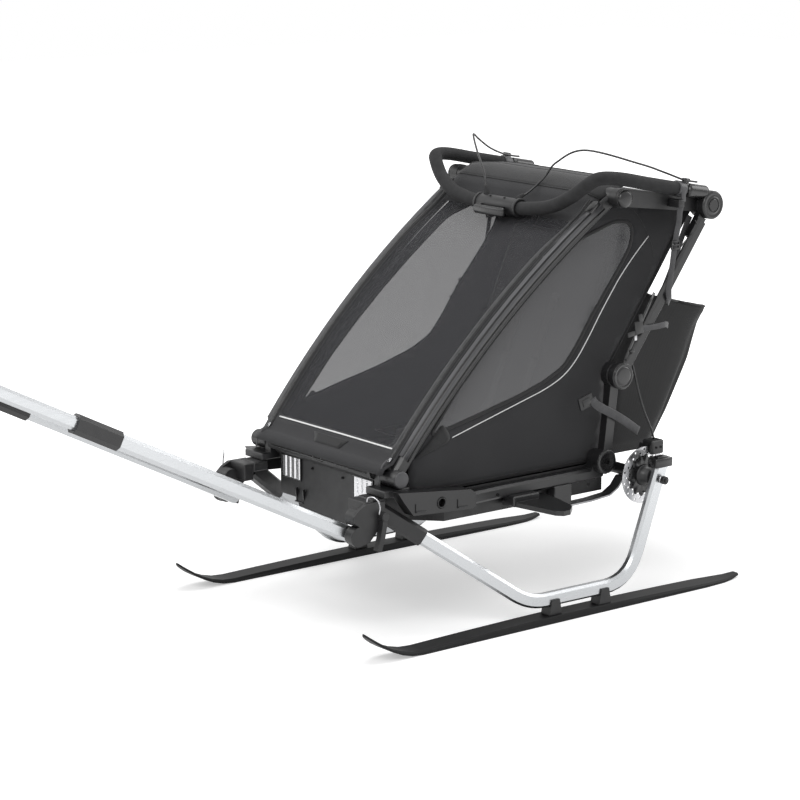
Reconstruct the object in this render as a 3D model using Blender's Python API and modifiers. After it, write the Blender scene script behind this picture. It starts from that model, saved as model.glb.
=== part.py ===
"""Child bike trailer set up for snow: skis on its wheel axles and two tow poles in front.

The body is a folding frame over a floor tray. Metres, +Z up, the trailer travels along -Y,
its left side is +X, and the skis stand on Z = 0. Places are given with Y = 0 over the middle of the
skis, and at the end everything moves along Y, so that the origin lies under the middle of the whole
box. Every side piece is made once for each side.
"""

import math

import bmesh
import bpy
from mathutils import Matrix, Vector

# Clearances
GAP = 0.0003
PIN_PLAY = 0.0004
SOFT_GAP = 0.0008

# Skis
SKI_TRACK = 0.756
SKI_LENGTH = 1.17
SKI_WIDTH = 0.060
SKI_THICK = 0.017
SKI_TIP_THICK = 0.006
SKI_TIP_RISE = 0.064
SKI_TIP_RUN = 0.150
SKI_TAIL_RISE = 0.006

# Fold pivots of the frame as (y, z)
FRONT_PIVOT = (-0.404, 0.379)
ROOF_PIVOT = (0.243, 0.975)
HUB_PIVOT = (0.516, 0.939)
MID_PIVOT = (0.232, 0.550)
LOW_PIVOT = (0.207, 0.338)
MID_PIVOT_PLAY = 0.0055

# Frame layers across the width, from the inside out
LAYER_IN = 0.262
LAYER_MID = 0.2863
LAYER_OUT = 0.3086
LEG_IN = 0.3190
LEG_OUT = 0.3350
HUB_END = 0.3390
PIN_RADIUS = 0.007

# Front corner
FRONT_DRUM_IN = 0.2280
FRONT_DRUM_OUT = 0.2840
FRONT_DRUM_RADIUS = 0.021
LUG_IN = 0.2060
NOSE_TOP = 0.3570
NOSE_BOTTOM = 0.3400

# Frame tubes
PILLAR_WIDTH = 0.0235
PILLAR_DEPTH = 0.034
PILLAR_BOW = 0.0390
ROOF_DRUM_RADIUS = 0.0225
REAR_TUBE_DEPTH = 0.030
LINK_WIDTH = 0.026
MID_DRUM_RADIUS = 0.033
LOW_DRUM_RADIUS = 0.031
HUB_RADIUS = 0.035
CROSSBAR_RADIUS = 0.011

# Lower frame
RAIL_WIDTH = 0.0237
RAIL_DEPTH = 0.030
RAIL_X = 0.2740
RAIL_Z = 0.3050
BLOCK_WIDTH = 0.0345
BLOCK_HOLE_RADIUS = 0.014
BLOCK_HOLE = (-0.303, 0.315)
WALL = 0.004
TRAY_FRONT = -0.3945
TRAY_REAR = 0.2350
TRAY_BOTTOM = 0.2550
TRAY_HEIGHT = 0.070
TRAY_NARROW = 0.2030
TRAY_STEP = -0.3150
BUMPER_WIDTH = 0.4080
BUMPER_CHIN_WIDTH = 0.1700
BUMPER_CHIN_TOP = 0.3587
BUMPER_CHIN_BOTTOM = 0.2350

# Rear axle, rotor and leaf spring
AXLE = (0.291, 0.301)
BEAM_RADIUS = 0.014
BEAM_HALF = 0.3180
SPINDLE_RADIUS = 0.0075
SPINDLE_END = 0.4120
AXLE_STEM_RADIUS = 0.0036
AXLE_STEM_IN = 0.007
BUTTON_TRAVEL = 0.004
ROTOR_RADIUS = 0.070
ROTOR_RIM = 0.021
ROTOR_THICK = 0.0025
ROTOR_X = BEAM_HALF + 0.0300
HUB_BEYOND_ROTOR = 0.0300
ROTOR_ARM = 0.0550
SPRING_IN = 0.2625
SPRING_WIDTH = 0.030
SPRING_THICK = 0.004
SPRING_FRONT = 0.2415
WING_BOTTOM = 0.2690

# Ski arm
ARM_WIDTH = 0.024
ARM_DEPTH = 0.034
SLEEVE_WALL = 0.004

# Tow poles
POLE_X = 0.190
POLE_PITCH = math.radians(26.6)
LOWER_POLE = 0.700
UPPER_POLE = 0.900
LOWER_POLE_DEPTH = 0.036
LOWER_POLE_WIDTH = 0.028
UPPER_POLE_DEPTH = 0.031
UPPER_POLE_WIDTH = 0.024
POLE_WALL = 0.002
POLE_PIVOT = (-0.520, 0.262)
POLE_BEND = 0.1425
POLE_END_X = 0.2332
POLE_DRUM_RADIUS = 0.022
POLE_DRUM_IN = 0.2480
POLE_DRUM_OUT = 0.2700
POLE_STUB_RADIUS = 0.0125

# Handlebar
GRIP_RADIUS = 0.0165
HOUSING_LENGTH = 0.150
HOUSING_RADIUS = 0.0215
CABLE_RADIUS = 0.0025

# Cabin
COVER_THICK = 0.0022
COVER_START = 0.0250
PANEL_THICK = 0.0022
BAG_HALF = 0.235
SEAT_HALF = 0.200
SEAT_BACK_THICK = 0.018
SEAT_BACK_FOOT = (0.1130, 0.3300)
SEAT_BACK_HEAD = (0.3420, 0.8600)


# Materials


def make_material(name, colour, roughness, metallic=0.0):
    material = bpy.data.materials.new(name)
    material.use_nodes = True
    shader = material.node_tree.nodes["Principled BSDF"]
    shader.inputs["Base Color"].default_value = (*colour, 1.0)
    shader.inputs["Roughness"].default_value = roughness
    shader.inputs["Metallic"].default_value = metallic
    return material


def make_materials():
    return {
        "silver": make_material("anodised_aluminium", (0.80, 0.80, 0.82), 0.30, 1.0),
        "dark_tube": make_material("dark_aluminium", (0.045, 0.045, 0.05), 0.38, 0.6),
        "plastic": make_material("moulded_plastic", (0.030, 0.030, 0.032), 0.50),
        "steel": make_material("rotor_steel", (0.62, 0.62, 0.64), 0.25, 1.0),
        "foam": make_material("grip_foam", (0.022, 0.022, 0.023), 0.85),
        "ski": make_material("ski_laminate", (0.020, 0.020, 0.022), 0.35),
        "fabric": make_material("woven_polyester", (0.032, 0.032, 0.034), 0.90),
        "mesh": make_material("mesh_screen", (0.045, 0.045, 0.047), 0.85),
        "cable": make_material("cable_jacket", (0.015, 0.015, 0.015), 0.45),
        "webbing": make_material("webbing", (0.060, 0.060, 0.062), 0.80),
    }


# Objects and collections


def clear_scene():
    for obj in list(bpy.data.objects):
        bpy.data.objects.remove(obj, do_unlink=True)


def make_collection(name):
    collection = bpy.data.collections.new(name)
    bpy.context.scene.collection.children.link(collection)
    return collection


def flat_point(pivot, x=0.0):
    return Vector((x, pivot[0], pivot[1]))


def place(name, mesh, material, pivot=None):
    """Make an object of a mesh in world space, with its origin on its joint's axis."""
    origin = Vector(pivot) if pivot is not None else Vector((0.0, 0.0, 0.0))
    mesh.name = name
    mesh.transform(Matrix.Translation(-origin))
    mesh.materials.clear()
    mesh.materials.append(MATERIALS[material])
    obj = bpy.data.objects.new(name, mesh)
    obj.location = origin
    PARTS.objects.link(obj)
    return obj


def baked(obj):
    """Return the object's evaluated mesh in world space and remove the object."""
    graph = bpy.context.evaluated_depsgraph_get()
    graph.update()
    mesh = bpy.data.meshes.new_from_object(obj.evaluated_get(graph))
    mesh.transform(obj.matrix_world)
    bpy.data.objects.remove(obj, do_unlink=True)
    weld(mesh)
    return mesh


def weld(mesh):
    shape = bmesh.new()
    shape.from_mesh(mesh)
    bmesh.ops.remove_doubles(shape, verts=shape.verts, dist=0.00002)
    bmesh.ops.recalc_face_normals(shape, faces=shape.faces)
    shape.to_mesh(mesh)
    shape.free()


def scratch(mesh):
    obj = bpy.data.objects.new("scratch", mesh)
    CUTTERS.objects.link(obj)
    obj.hide_render = True
    obj.display_type = "WIRE"
    return obj


def combine(mesh, others, operation):
    """Join meshes to a mesh, or cut them from it, and return the result."""
    target = scratch(mesh)
    helpers = []
    for other in others:
        helper = scratch(other)
        step = target.modifiers.new("step", "BOOLEAN")
        step.operation = operation
        step.object = helper
        helpers.append(helper)
    bpy.context.view_layer.update()
    result = baked(target)
    for helper in helpers:
        bpy.data.objects.remove(helper, do_unlink=True)
    return result


def join(mesh, *others):
    return combine(mesh, others, "UNION")


def cut(mesh, *others):
    return combine(mesh, others, "DIFFERENCE")


def mirror_x(mesh, side):
    if side < 0:
        mesh.transform(Matrix.Scale(-1.0, 4, Vector((1.0, 0.0, 0.0))))
        mesh.flip_normals()
    return mesh


# Shapes


def box(low, high, bevel=0.0):
    """A box between two corners, with its edges bevelled."""
    shape = bmesh.new()
    bmesh.ops.create_cube(shape, size=1.0)
    low, high = Vector(low), Vector(high)
    centre = (low + high) / 2.0
    for vert in shape.verts:
        vert.co = Vector(centre[i] + vert.co[i] * (high[i] - low[i]) for i in range(3))
    if bevel > 0.0:
        bmesh.ops.bevel(shape, geom=list(shape.edges), offset=bevel, segments=1, affect="EDGES")
    return to_mesh(shape)


def to_mesh(shape):
    mesh = bpy.data.meshes.new("shape")
    bmesh.ops.recalc_face_normals(shape, faces=shape.faces)
    shape.to_mesh(mesh)
    shape.free()
    return mesh


def drum(pivot, x_low, x_high, radius, segments=24, bevel=0.0):
    """A cylinder along X round a point of the side view."""
    shape = bmesh.new()
    bmesh.ops.create_cone(shape, cap_ends=True, segments=segments, radius1=radius, radius2=radius,
                          depth=x_high - x_low)
    if bevel > 0.0:
        rims = [edge for edge in shape.edges if abs(edge.verts[0].co.z - edge.verts[1].co.z) < 1e-6]
        bmesh.ops.bevel(shape, geom=rims, offset=bevel, segments=1, affect="EDGES")
    middle = flat_point(pivot, (x_low + x_high) / 2.0)
    bmesh.ops.transform(shape, verts=shape.verts,
                        matrix=Matrix.Translation(middle) @ Matrix.Rotation(math.pi / 2.0, 4, "Y"))
    return to_mesh(shape)


def arc(centre, radius, start, end, steps):
    """Points of an arc in the side view, its angles in degrees."""
    points = []
    for step in range(steps + 1):
        angle = math.radians(start + (end - start) * step / steps)
        points.append((centre[0] + radius * math.cos(angle), centre[1] + radius * math.sin(angle)))
    return points


def plate(outline, low, high, axis="x"):
    """A flat outline extruded along X, its points (y, z), or along Z, its points (x, y)."""
    data = bpy.data.curves.new("outline", "CURVE")
    data.dimensions = "2D"
    data.fill_mode = "BOTH"
    data.extrude = (high - low) / 2.0
    spline = data.splines.new("POLY")
    spline.points.add(len(outline) - 1)
    for point, (u, v) in zip(spline.points, outline):
        point.co = (u, v, 0.0, 1.0)
    spline.use_cyclic_u = True
    obj = scratch(data)
    middle = (low + high) / 2.0
    if axis == "x":
        turn = Matrix(((0, 0, 1), (1, 0, 0), (0, 1, 0))).to_4x4()
        obj.matrix_world = Matrix.Translation((middle, 0.0, 0.0)) @ turn
    else:
        obj.matrix_world = Matrix.Translation((0.0, 0.0, middle))
    bpy.context.view_layer.update()
    return baked(obj)


def strip(points, thickness):
    """The closed outline of a strip of even thickness that follows the points."""
    left, right = [], []
    count = len(points)
    for index, point in enumerate(points):
        before = Vector(points[max(index - 1, 0)])
        after = Vector(points[min(index + 1, count - 1)])
        along = (after - before).normalized()
        across = Vector((-along.y, along.x)) * thickness / 2.0
        left.append(tuple(Vector(point) + across))
        right.append(tuple(Vector(point) - across))
    return left + right[::-1]


def rounded_route(points, reaches, steps=5):
    """A route whose inner corners are turned into curves that begin the given reach before each corner."""
    route = [Vector(points[0])]
    for before, corner, after, reach in zip(points, points[1:], points[2:], reaches):
        corner = Vector(corner)
        start = corner + (Vector(before) - corner).normalized() * reach
        end = corner + (Vector(after) - corner).normalized() * reach
        for step in range(steps + 1):
            t = step / steps
            route.append(start * (1 - t) ** 2 + corner * 2 * t * (1 - t) + end * t * t)
    route.append(Vector(points[-1]))
    return route


def smooth_route(points, count):
    """Points read evenly from a smooth curve through the route's own points."""
    knots = [Vector(p) for p in points]
    knots = [2 * knots[0] - knots[1]] + knots + [2 * knots[-1] - knots[-2]]
    dense = []
    for a, b, c, d in zip(knots, knots[1:], knots[2:], knots[3:]):
        for step in range(24):
            t = step / 24
            dense.append(0.5 * (2 * b + (c - a) * t + (2 * a - 5 * b + 4 * c - d) * t * t
                                + (3 * b - a - 3 * c + d) * t ** 3))
    dense.append(knots[-2])
    lengths = [0.0]
    for a, b in zip(dense, dense[1:]):
        lengths.append(lengths[-1] + (b - a).length)
    even, index = [], 0
    for step in range(count):
        goal = lengths[-1] * step / (count - 1)
        while index < len(lengths) - 2 and lengths[index + 1] < goal:
            index += 1
        share = (goal - lengths[index]) / (lengths[index + 1] - lengths[index])
        even.append(dense[index].lerp(dense[index + 1], share))
    return even


def route_curve(route, twist="Z_UP"):
    data = bpy.data.curves.new("route", "CURVE")
    data.dimensions = "3D"
    data.twist_mode = twist
    data.use_fill_caps = True
    spline = data.splines.new("POLY")
    spline.points.add(len(route) - 1)
    for point, place_ in zip(spline.points, route):
        point.co = (*place_, 1.0)
    return data


def tube(route, radius, resolution=2):
    """A round tube along a route."""
    data = route_curve(route, "MINIMUM")
    data.bevel_depth = radius
    data.bevel_resolution = resolution
    return baked(scratch(data))


def bar(route, width, depth, corner=0.006, twist="Z_UP"):
    """A bar of rounded box section along a route, width level and depth upright."""
    half_w, half_d = width / 2.0 - corner, depth / 2.0 - corner
    section = []
    for u, v, start in ((half_w, half_d, 0), (-half_w, half_d, 90), (-half_w, -half_d, 180), (half_w, -half_d, 270)):
        section += arc((u, v), corner, start, start + 90, 1)
    profile = bpy.data.curves.new("section", "CURVE")
    profile.dimensions = "2D"
    loop = profile.splines.new("POLY")
    loop.points.add(len(section) - 1)
    for point, (u, v) in zip(loop.points, section):
        point.co = (u, v, 0.0, 1.0)
    loop.use_cyclic_u = True
    guide = scratch(profile)
    data = route_curve(route, twist)
    data.bevel_mode = "OBJECT"
    data.bevel_object = guide
    obj = scratch(data)
    bpy.context.view_layer.update()
    mesh = baked(obj)
    bpy.data.objects.remove(guide, do_unlink=True)
    return mesh


def sheet(surface, across, along, thickness):
    """A thin closed skin over a surface given as a function of u and v from 0 to 1."""
    shape = bmesh.new()
    bmesh.ops.create_grid(shape, x_segments=across, y_segments=along, size=0.5)
    for vert in shape.verts:
        vert.co = Vector(surface(vert.co.x + 0.5, vert.co.y + 0.5))
    mesh = bpy.data.meshes.new("sheet")
    shape.to_mesh(mesh)
    shape.free()
    obj = scratch(mesh)
    thick = obj.modifiers.new("thickness", "SOLIDIFY")
    thick.thickness = thickness
    thick.offset = 0.0
    bpy.context.view_layer.update()
    return baked(obj)


def loft(sections):
    """A closed solid through sections that have the same number of points."""
    shape = bmesh.new()
    rings = [[shape.verts.new(point) for point in section] for section in sections]
    for ring, following in zip(rings, rings[1:]):
        for index in range(len(ring)):
            after = (index + 1) % len(ring)
            shape.faces.new((ring[index], ring[after], following[after], following[index]))
    shape.faces.new(rings[0][::-1])
    shape.faces.new(rings[-1])
    return to_mesh(shape)


def oblong(centre, half_x, half_y, z, corner):
    """A level oblong section with cut corners."""
    x, y = centre
    a, b, c = half_x, half_y, corner
    return [(x - a + c, y - b, z), (x + a - c, y - b, z), (x + a, y - b + c, z), (x + a, y + b - c, z),
            (x + a - c, y + b, z), (x - a + c, y + b, z), (x - a, y + b - c, z), (x - a, y - b + c, z)]


def eyed_bar(start, end, start_radius, end_radius, waist, steps=10):
    """A flat link in the side view: a round end at each pivot and a straight waist."""
    heading = math.degrees(math.atan2(end[1] - start[1], end[0] - start[0]))
    open_start = math.degrees(math.asin(waist / 2.0 / start_radius))
    open_end = math.degrees(math.asin(waist / 2.0 / end_radius))
    outline = arc(start, start_radius, heading + open_start, heading + 360.0 - open_start, steps)
    outline += arc(end, end_radius, heading + 180.0 + open_end, heading + 540.0 - open_end, steps)
    return outline


# Frame lines


def between(a, b, share):
    return (a[0] + (b[0] - a[0]) * share, a[1] + (b[1] - a[1]) * share)


def pillar_x(share):
    """The middle of a pillar across the width, from the front drum up to the roof pivot."""
    low = (FRONT_DRUM_IN + FRONT_DRUM_OUT) / 2.0
    high = (LAYER_IN + LAYER_MID) / 2.0
    return low + (high - low) * share


PILLAR_SLOPE = math.atan2(ROOF_PIVOT[1] - FRONT_PIVOT[1], ROOF_PIVOT[0] - FRONT_PIVOT[0])


def pillar_point(share, lift=0.0):
    """A point of the side view along the bowed pillar, lifted square to its ends' line."""
    y, z = between(FRONT_PIVOT, ROOF_PIVOT, share)
    lift += PILLAR_BOW * 4.0 * share * (1.0 - share)
    return (y - lift * math.sin(PILLAR_SLOPE), z + lift * math.cos(PILLAR_SLOPE))


def pillar_underside(y, gap):
    """Height of a line a gap under the pillar's lower face, over a point of the floor."""
    length = ROOF_PIVOT[0] - FRONT_PIVOT[0]
    share = (y - FRONT_PIVOT[0]) / length
    for _ in range(30):
        share += (y - pillar_point(share)[0]) / length * 0.8
    ahead, behind = pillar_point(share + 0.01), pillar_point(share - 0.01)
    slope = math.atan2(ahead[1] - behind[1], ahead[0] - behind[0])
    return pillar_point(share)[1] - (PILLAR_DEPTH / 2.0 + gap) / math.cos(slope)


def suffix(side):
    return "left" if side > 0 else "right"


# Skis and their arms


def ski_centre(y):
    """Height of the ski's sole along its length."""
    tip = -SKI_LENGTH / 2.0
    tail = SKI_LENGTH / 2.0
    front = max(0.0, (tip + SKI_TIP_RUN - y) / SKI_TIP_RUN)
    rear = max(0.0, (y - tail + 0.06) / 0.06)
    return SKI_TIP_RISE * front ** 2 + SKI_TAIL_RISE * rear ** 2


def ski_thickness(y):
    """The ski is thick in its middle and thin at its ends."""
    share = min(1.0, abs(y) / (SKI_LENGTH / 2.0))
    return SKI_TIP_THICK + (SKI_THICK - SKI_TIP_THICK) * (1.0 - share ** 1.6)


def ski_half_width(y):
    front = max(0.0, (-SKI_LENGTH / 2.0 + 0.075 - y) / 0.075)
    rear = max(0.0, (y - SKI_LENGTH / 2.0 + 0.120) / 0.120)
    waist = 0.0025 * math.cos(math.pi * y / SKI_LENGTH)
    return (SKI_WIDTH / 2.0 - waist) * math.sqrt(max(0.03, 1.0 - front ** 2)) * (1.0 - 0.62 * rear ** 2)


def ski_stations():
    tip = -SKI_LENGTH / 2.0
    near_tip = [tip + SKI_TIP_RUN * share ** 1.5 for share in (0.0, 0.13, 0.26, 0.4, 0.55, 0.7, 0.85, 1.0)]
    body = [-0.35, -0.25, -0.12, 0.0, 0.12, 0.25, 0.36, 0.46]
    near_tail = [SKI_LENGTH / 2.0 - 0.06, SKI_LENGTH / 2.0 - 0.03, SKI_LENGTH / 2.0]
    return near_tip + body + near_tail


def add_ski(side):
    sections = []
    middle = side * SKI_TRACK / 2.0
    for y in ski_stations():
        half, sole, thick = ski_half_width(y), ski_centre(y), ski_thickness(y)
        edge = min(0.004, half * 0.3)
        sections.append([
            (middle - half, y, sole), (middle + half, y, sole), (middle + half, y, sole + thick * 0.6),
            (middle + half - edge, y, sole + thick), (middle - half + edge, y, sole + thick),
            (middle - half, y, sole + thick * 0.6),
        ])
    place("ski_" + suffix(side), loft(sections), "ski")


ARM_CORNERS = ((0.2467, -0.4450, 0.3090), (0.3780, -0.0980, 0.0540), (0.3830, 0.2140, 0.0540),
               (0.3980, 0.3020, 0.3350))
ARM_BENDS = (0.045, 0.078)
SLEEVE_END = (0.2846, -0.3450, 0.2355)


def arm_route():
    return rounded_route(ARM_CORNERS, ARM_BENDS, 7)


def arm_section_route(start, end):
    """Two points on the front run of the arm, between two distances from its start."""
    first, second = Vector(ARM_CORNERS[0]), Vector(ARM_CORNERS[1])
    along = (second - first).normalized()
    return [first + along * start, first + along * end]


SLEEVE_LENGTH = (Vector(SLEEVE_END) - Vector(ARM_CORNERS[0])).length


def add_ski_arm(side):
    arm = bar(arm_route(), ARM_WIDTH, ARM_DEPTH)
    x, y, z = ARM_CORNERS[-1]
    hole = drum(AXLE, x - ARM_WIDTH, x + ARM_WIDTH, SPINDLE_RADIUS + PIN_PLAY, 16)
    place("ski_arm_" + suffix(side), mirror_x(cut(arm, hole), side), "silver")


def add_arm_socket(side):
    outer = bar(arm_section_route(-0.012, SLEEVE_LENGTH), ARM_WIDTH + 2 * SLEEVE_WALL,
                ARM_DEPTH + 2 * SLEEVE_WALL, 0.007)
    inner = bar(arm_section_route(-GAP, SLEEVE_LENGTH + 0.03), ARM_WIDTH + 2 * GAP, ARM_DEPTH + 2 * GAP)
    ear = box((LUG_IN, -0.4720, 0.3150), (0.2600, -0.4300, NOSE_BOTTOM - GAP), 0.003)
    socket = cut(join(outer, ear), inner)
    place("arm_socket_" + suffix(side), mirror_x(socket, side), "plastic")


def add_ski_clamps(side):
    """A saddle at each end of the arm's level run, that holds the arm on the ski."""
    run = ARM_CORNERS[1][2]
    for label, middle in (("front", -0.0270), ("rear", 0.1280)):
        share = (middle - ARM_CORNERS[1][1]) / (ARM_CORNERS[2][1] - ARM_CORNERS[1][1])
        x = ARM_CORNERS[1][0] + (ARM_CORNERS[2][0] - ARM_CORNERS[1][0]) * share
        half = ARM_WIDTH / 2.0 + 0.004
        foot = max(ski_thickness(middle - 0.02), ski_thickness(middle + 0.02)) + GAP
        saddle = plate([(middle - 0.019, foot), (middle + 0.019, foot), (middle + 0.012, run), (middle - 0.012, run)],
                       x - half, x + half)
        channel = bar([(x - 0.0006, middle - 0.06, run), (x + 0.0006, middle + 0.06, run)],
                      ARM_WIDTH + 0.0012, ARM_DEPTH + 2 * GAP)
        place("ski_clamp_%s_%s" % (label, suffix(side)), mirror_x(cut(saddle, channel), side), "plastic")


def add_arm_button(side):
    """The spring button on the axle's end, that frees the arm."""
    start = SPINDLE_END + BUTTON_TRAVEL + GAP
    knob = drum(AXLE, start, start + 0.012, 0.0100, 16, 0.001)
    tip = drum(AXLE, start + 0.010, start + 0.017, 0.0055, 12, 0.002)
    stem = drum(AXLE, SPINDLE_END - AXLE_STEM_IN, start + 0.002, AXLE_STEM_RADIUS, 12)
    button = mirror_x(join(knob, tip, stem), side)
    place("axle_button_" + suffix(side), button, "plastic", flat_point(AXLE, side * start))


# Lower frame


WING_OUTLINE = ((0.2700, -0.0900), (0.3100, -0.0780), (0.4250, -0.0580), (0.4390, -0.0450), (0.4380, -0.0240),
                (0.4110, 0.0060), (0.3400, 0.0250), (0.2700, 0.0350))


def add_side_rail(side):
    """The lower rail: its block, guard wing and spring mount, and the lugs and pins of two pivots."""
    block = plate([(-0.430, 0.3560), (-0.215, 0.3330), (-0.200, 0.3220), (-0.200, 0.2920), (-0.212, 0.2860),
                   (-0.385, 0.2960), (-0.414, 0.3330)], FRONT_DRUM_IN + 0.0428, FRONT_DRUM_IN + 0.0428 + BLOCK_WIDTH)
    hole = drum(BLOCK_HOLE, 0.2850, 0.3200, BLOCK_HOLE_RADIUS, 20)
    tube_x = RAIL_X
    rail = bar([(tube_x + 0.010, -0.230, RAIL_Z), (tube_x, -0.100, RAIL_Z), (tube_x, 0.196, RAIL_Z)],
               RAIL_WIDTH, RAIL_DEPTH)
    nose = box((LUG_IN, -0.4480, NOSE_BOTTOM), (FRONT_DRUM_IN + 0.0500, -0.3750, NOSE_TOP), 0.002)
    lug = plate(arc(FRONT_PIVOT, 0.018, 0, 180, 8) + [(-0.4220, 0.3520), (-0.3860, 0.3520)],
                LUG_IN, FRONT_DRUM_IN - GAP)
    pin = drum(FRONT_PIVOT, LUG_IN + 0.004, FRONT_DRUM_OUT - 0.006, PIN_RADIUS, 16)
    rear_lug = plate(arc(LOW_PIVOT, 0.026, -20, 200, 12) + [(0.1750, 0.2960), (0.2150, 0.2960)],
                     LAYER_IN, LAYER_MID - GAP)
    rear_pin = drum(LOW_PIVOT, LAYER_IN + 0.004, LAYER_OUT - 0.004, PIN_RADIUS, 16)
    wing = plate(WING_OUTLINE, WING_BOTTOM, WING_BOTTOM + 0.0115, axis="z")
    root = box((tube_x - 0.009, -0.0860, WING_BOTTOM), (tube_x + 0.034, -0.0050, RAIL_Z - 0.010), 0.003)
    block_low = box((SPRING_IN + 0.0006, 0.0550, SPRING_FRONT + SPRING_THICK / 2.0 + GAP),
                    (SPRING_IN + SPRING_WIDTH, 0.1100, RAIL_Z - 0.010), 0.002)
    solid = cut(join(block, rail, nose, lug, pin, rear_lug, rear_pin, wing, root, block_low), hole)
    place("side_rail_" + suffix(side), mirror_x(solid, side), "dark_tube")


def add_floor_tray():
    wide = LAYER_IN - GAP - 0.001

    def outline(inset):
        narrow, broad = TRAY_NARROW - inset, wide - inset
        front, step, rear = TRAY_FRONT + inset, TRAY_STEP + inset, TRAY_REAR - inset
        half = [(broad, rear), (broad, step + 0.055), (narrow, step), (narrow, front)]
        return half + [(-x, y) for x, y in half[::-1]]

    outer = plate(outline(0.0)[::-1], TRAY_BOTTOM, TRAY_BOTTOM + TRAY_HEIGHT, "z")
    inner = plate(outline(WALL)[::-1], TRAY_BOTTOM + WALL, TRAY_BOTTOM + TRAY_HEIGHT + 0.02, "z")
    place("floor_tray", cut(outer, inner), "plastic")


def add_front_bumper():
    """The moulded shell in front of the tray: a rolled lip on top, and a chin that narrows downwards."""
    half = BUMPER_WIDTH / 2.0 - SOFT_GAP
    face = [(-0.4000, 0.4040), (-0.4230, 0.4010), (-0.4330, 0.3870), (-0.4290, 0.3740), (-0.4110, 0.3660),
            (-0.4015, 0.3560), (-0.4010, 0.3150), (-0.4080, 0.2720), (-0.4180, BUMPER_CHIN_BOTTOM + 0.0040),
            (-0.4110, BUMPER_CHIN_BOTTOM), (-0.3995, BUMPER_CHIN_BOTTOM + 0.0040), (-0.3970, 0.2700)]
    shell = plate(strip(face, WALL), -half, half)
    chin = BUMPER_CHIN_WIDTH / 2.0
    slant = (half - chin) / (BUMPER_CHIN_TOP - BUMPER_CHIN_BOTTOM)
    past = 0.020
    corner = [(half + past, BUMPER_CHIN_TOP + past / slant), (chin - past, BUMPER_CHIN_BOTTOM - past / slant),
              (half + past, BUMPER_CHIN_BOTTOM - past / slant)]
    for side in (1, -1):
        away = loft([[(side * x, y, z) for x, z in corner] for y in (FRONT_PIVOT[0] - 0.060, FRONT_PIVOT[0] + 0.030)])
        shell = cut(shell, away)
    place("front_bumper", shell, "plastic")


def add_axle_beam():
    beam = drum(AXLE, -BEAM_HALF, BEAM_HALF, BEAM_RADIUS, 20, 0.002)
    spindles = [drum(AXLE, low, high, SPINDLE_RADIUS, 16)
                for low, high in ((-SPINDLE_END, -BEAM_HALF + 0.01), (BEAM_HALF - 0.01, SPINDLE_END))]
    bores = [drum(AXLE, low, high, AXLE_STEM_RADIUS + PIN_PLAY, 12)
             for low, high in ((-SPINDLE_END - 0.01, -SPINDLE_END + AXLE_STEM_IN + 2 * BUTTON_TRAVEL),
                               (SPINDLE_END - AXLE_STEM_IN - 2 * BUTTON_TRAVEL, SPINDLE_END + 0.01))]
    place("axle_beam", cut(join(beam, *spindles), *bores), "dark_tube")


def add_leaf_spring(side):
    """The flat spring from the mount under the rail to the underside of the axle beam."""
    rear = AXLE[1] - BEAM_RADIUS - GAP - SPRING_THICK / 2.0
    line = [(0.050, SPRING_FRONT), (0.110, SPRING_FRONT), (0.175, SPRING_FRONT + 0.001),
            (0.235, SPRING_FRONT + 0.006), (0.262, SPRING_FRONT + 0.021), (0.280, rear), (0.312, rear)]
    spring = plate(strip(line, SPRING_THICK), SPRING_IN, SPRING_IN + SPRING_WIDTH)
    place("leaf_spring_" + suffix(side), mirror_x(spring, side), "steel")


def add_brake(side):
    """A drilled rotor ring on a carrier, free on the axle, and the caliper that grips it."""
    ring = drum(AXLE, ROTOR_X, ROTOR_X + ROTOR_THICK, ROTOR_RADIUS, 32)
    window = drum(AXLE, ROTOR_X - 0.01, ROTOR_X + 0.02, ROTOR_RADIUS - ROTOR_RIM, 24)
    ring = cut(ring, window)
    reach, low, high = ROTOR_ARM, ROTOR_X - 0.001, ROTOR_X + ROTOR_THICK + 0.001
    ends = ((AXLE[0] - reach, AXLE[1]), (AXLE[0] + reach, AXLE[1]))
    carrier = plate(eyed_bar(*ends, 0.009, 0.009, 0.014, 6), low, high)
    ends = ((AXLE[0], AXLE[1] - reach), (AXLE[0], AXLE[1] + reach))
    cross = plate(eyed_bar(*ends, 0.009, 0.009, 0.014, 6), low, high)
    hub = drum(AXLE, BEAM_HALF + GAP, ROTOR_X + HUB_BEYOND_ROTOR, 0.0170, 20, 0.002)
    bore = drum(AXLE, BEAM_HALF - 0.01, 0.40, SPINDLE_RADIUS + PIN_PLAY, 16)
    rotor = cut(join(ring, carrier, cross, hub), bore)
    place("brake_rotor_" + suffix(side), mirror_x(rotor, side), "steel", flat_point(AXLE, side * ROTOR_X))
    body = box((0.3270, 0.3050, 0.3500), (0.3640, 0.3440, 0.3840), 0.003)
    slot = box((ROTOR_X - 0.0030, 0.2700, 0.3300), (ROTOR_X + 0.0065, 0.4000, 0.3755))
    foot_line = [(AXLE[0] + 0.006, AXLE[1] + 0.010), (0.3150, 0.3420), (0.3240, 0.3680)]
    foot = plate(strip(foot_line, 0.012), 0.3050, 0.3300)
    beam_room = drum(AXLE, 0.20, BEAM_HALF + 0.001, BEAM_RADIUS + GAP, 20)
    spindle_room = drum(AXLE, 0.20, 0.40, 0.0175, 20)
    caliper = cut(join(body, foot), slot, beam_room, spindle_room)
    place("brake_caliper_" + suffix(side), mirror_x(caliper, side), "plastic")


# Tow poles


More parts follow.
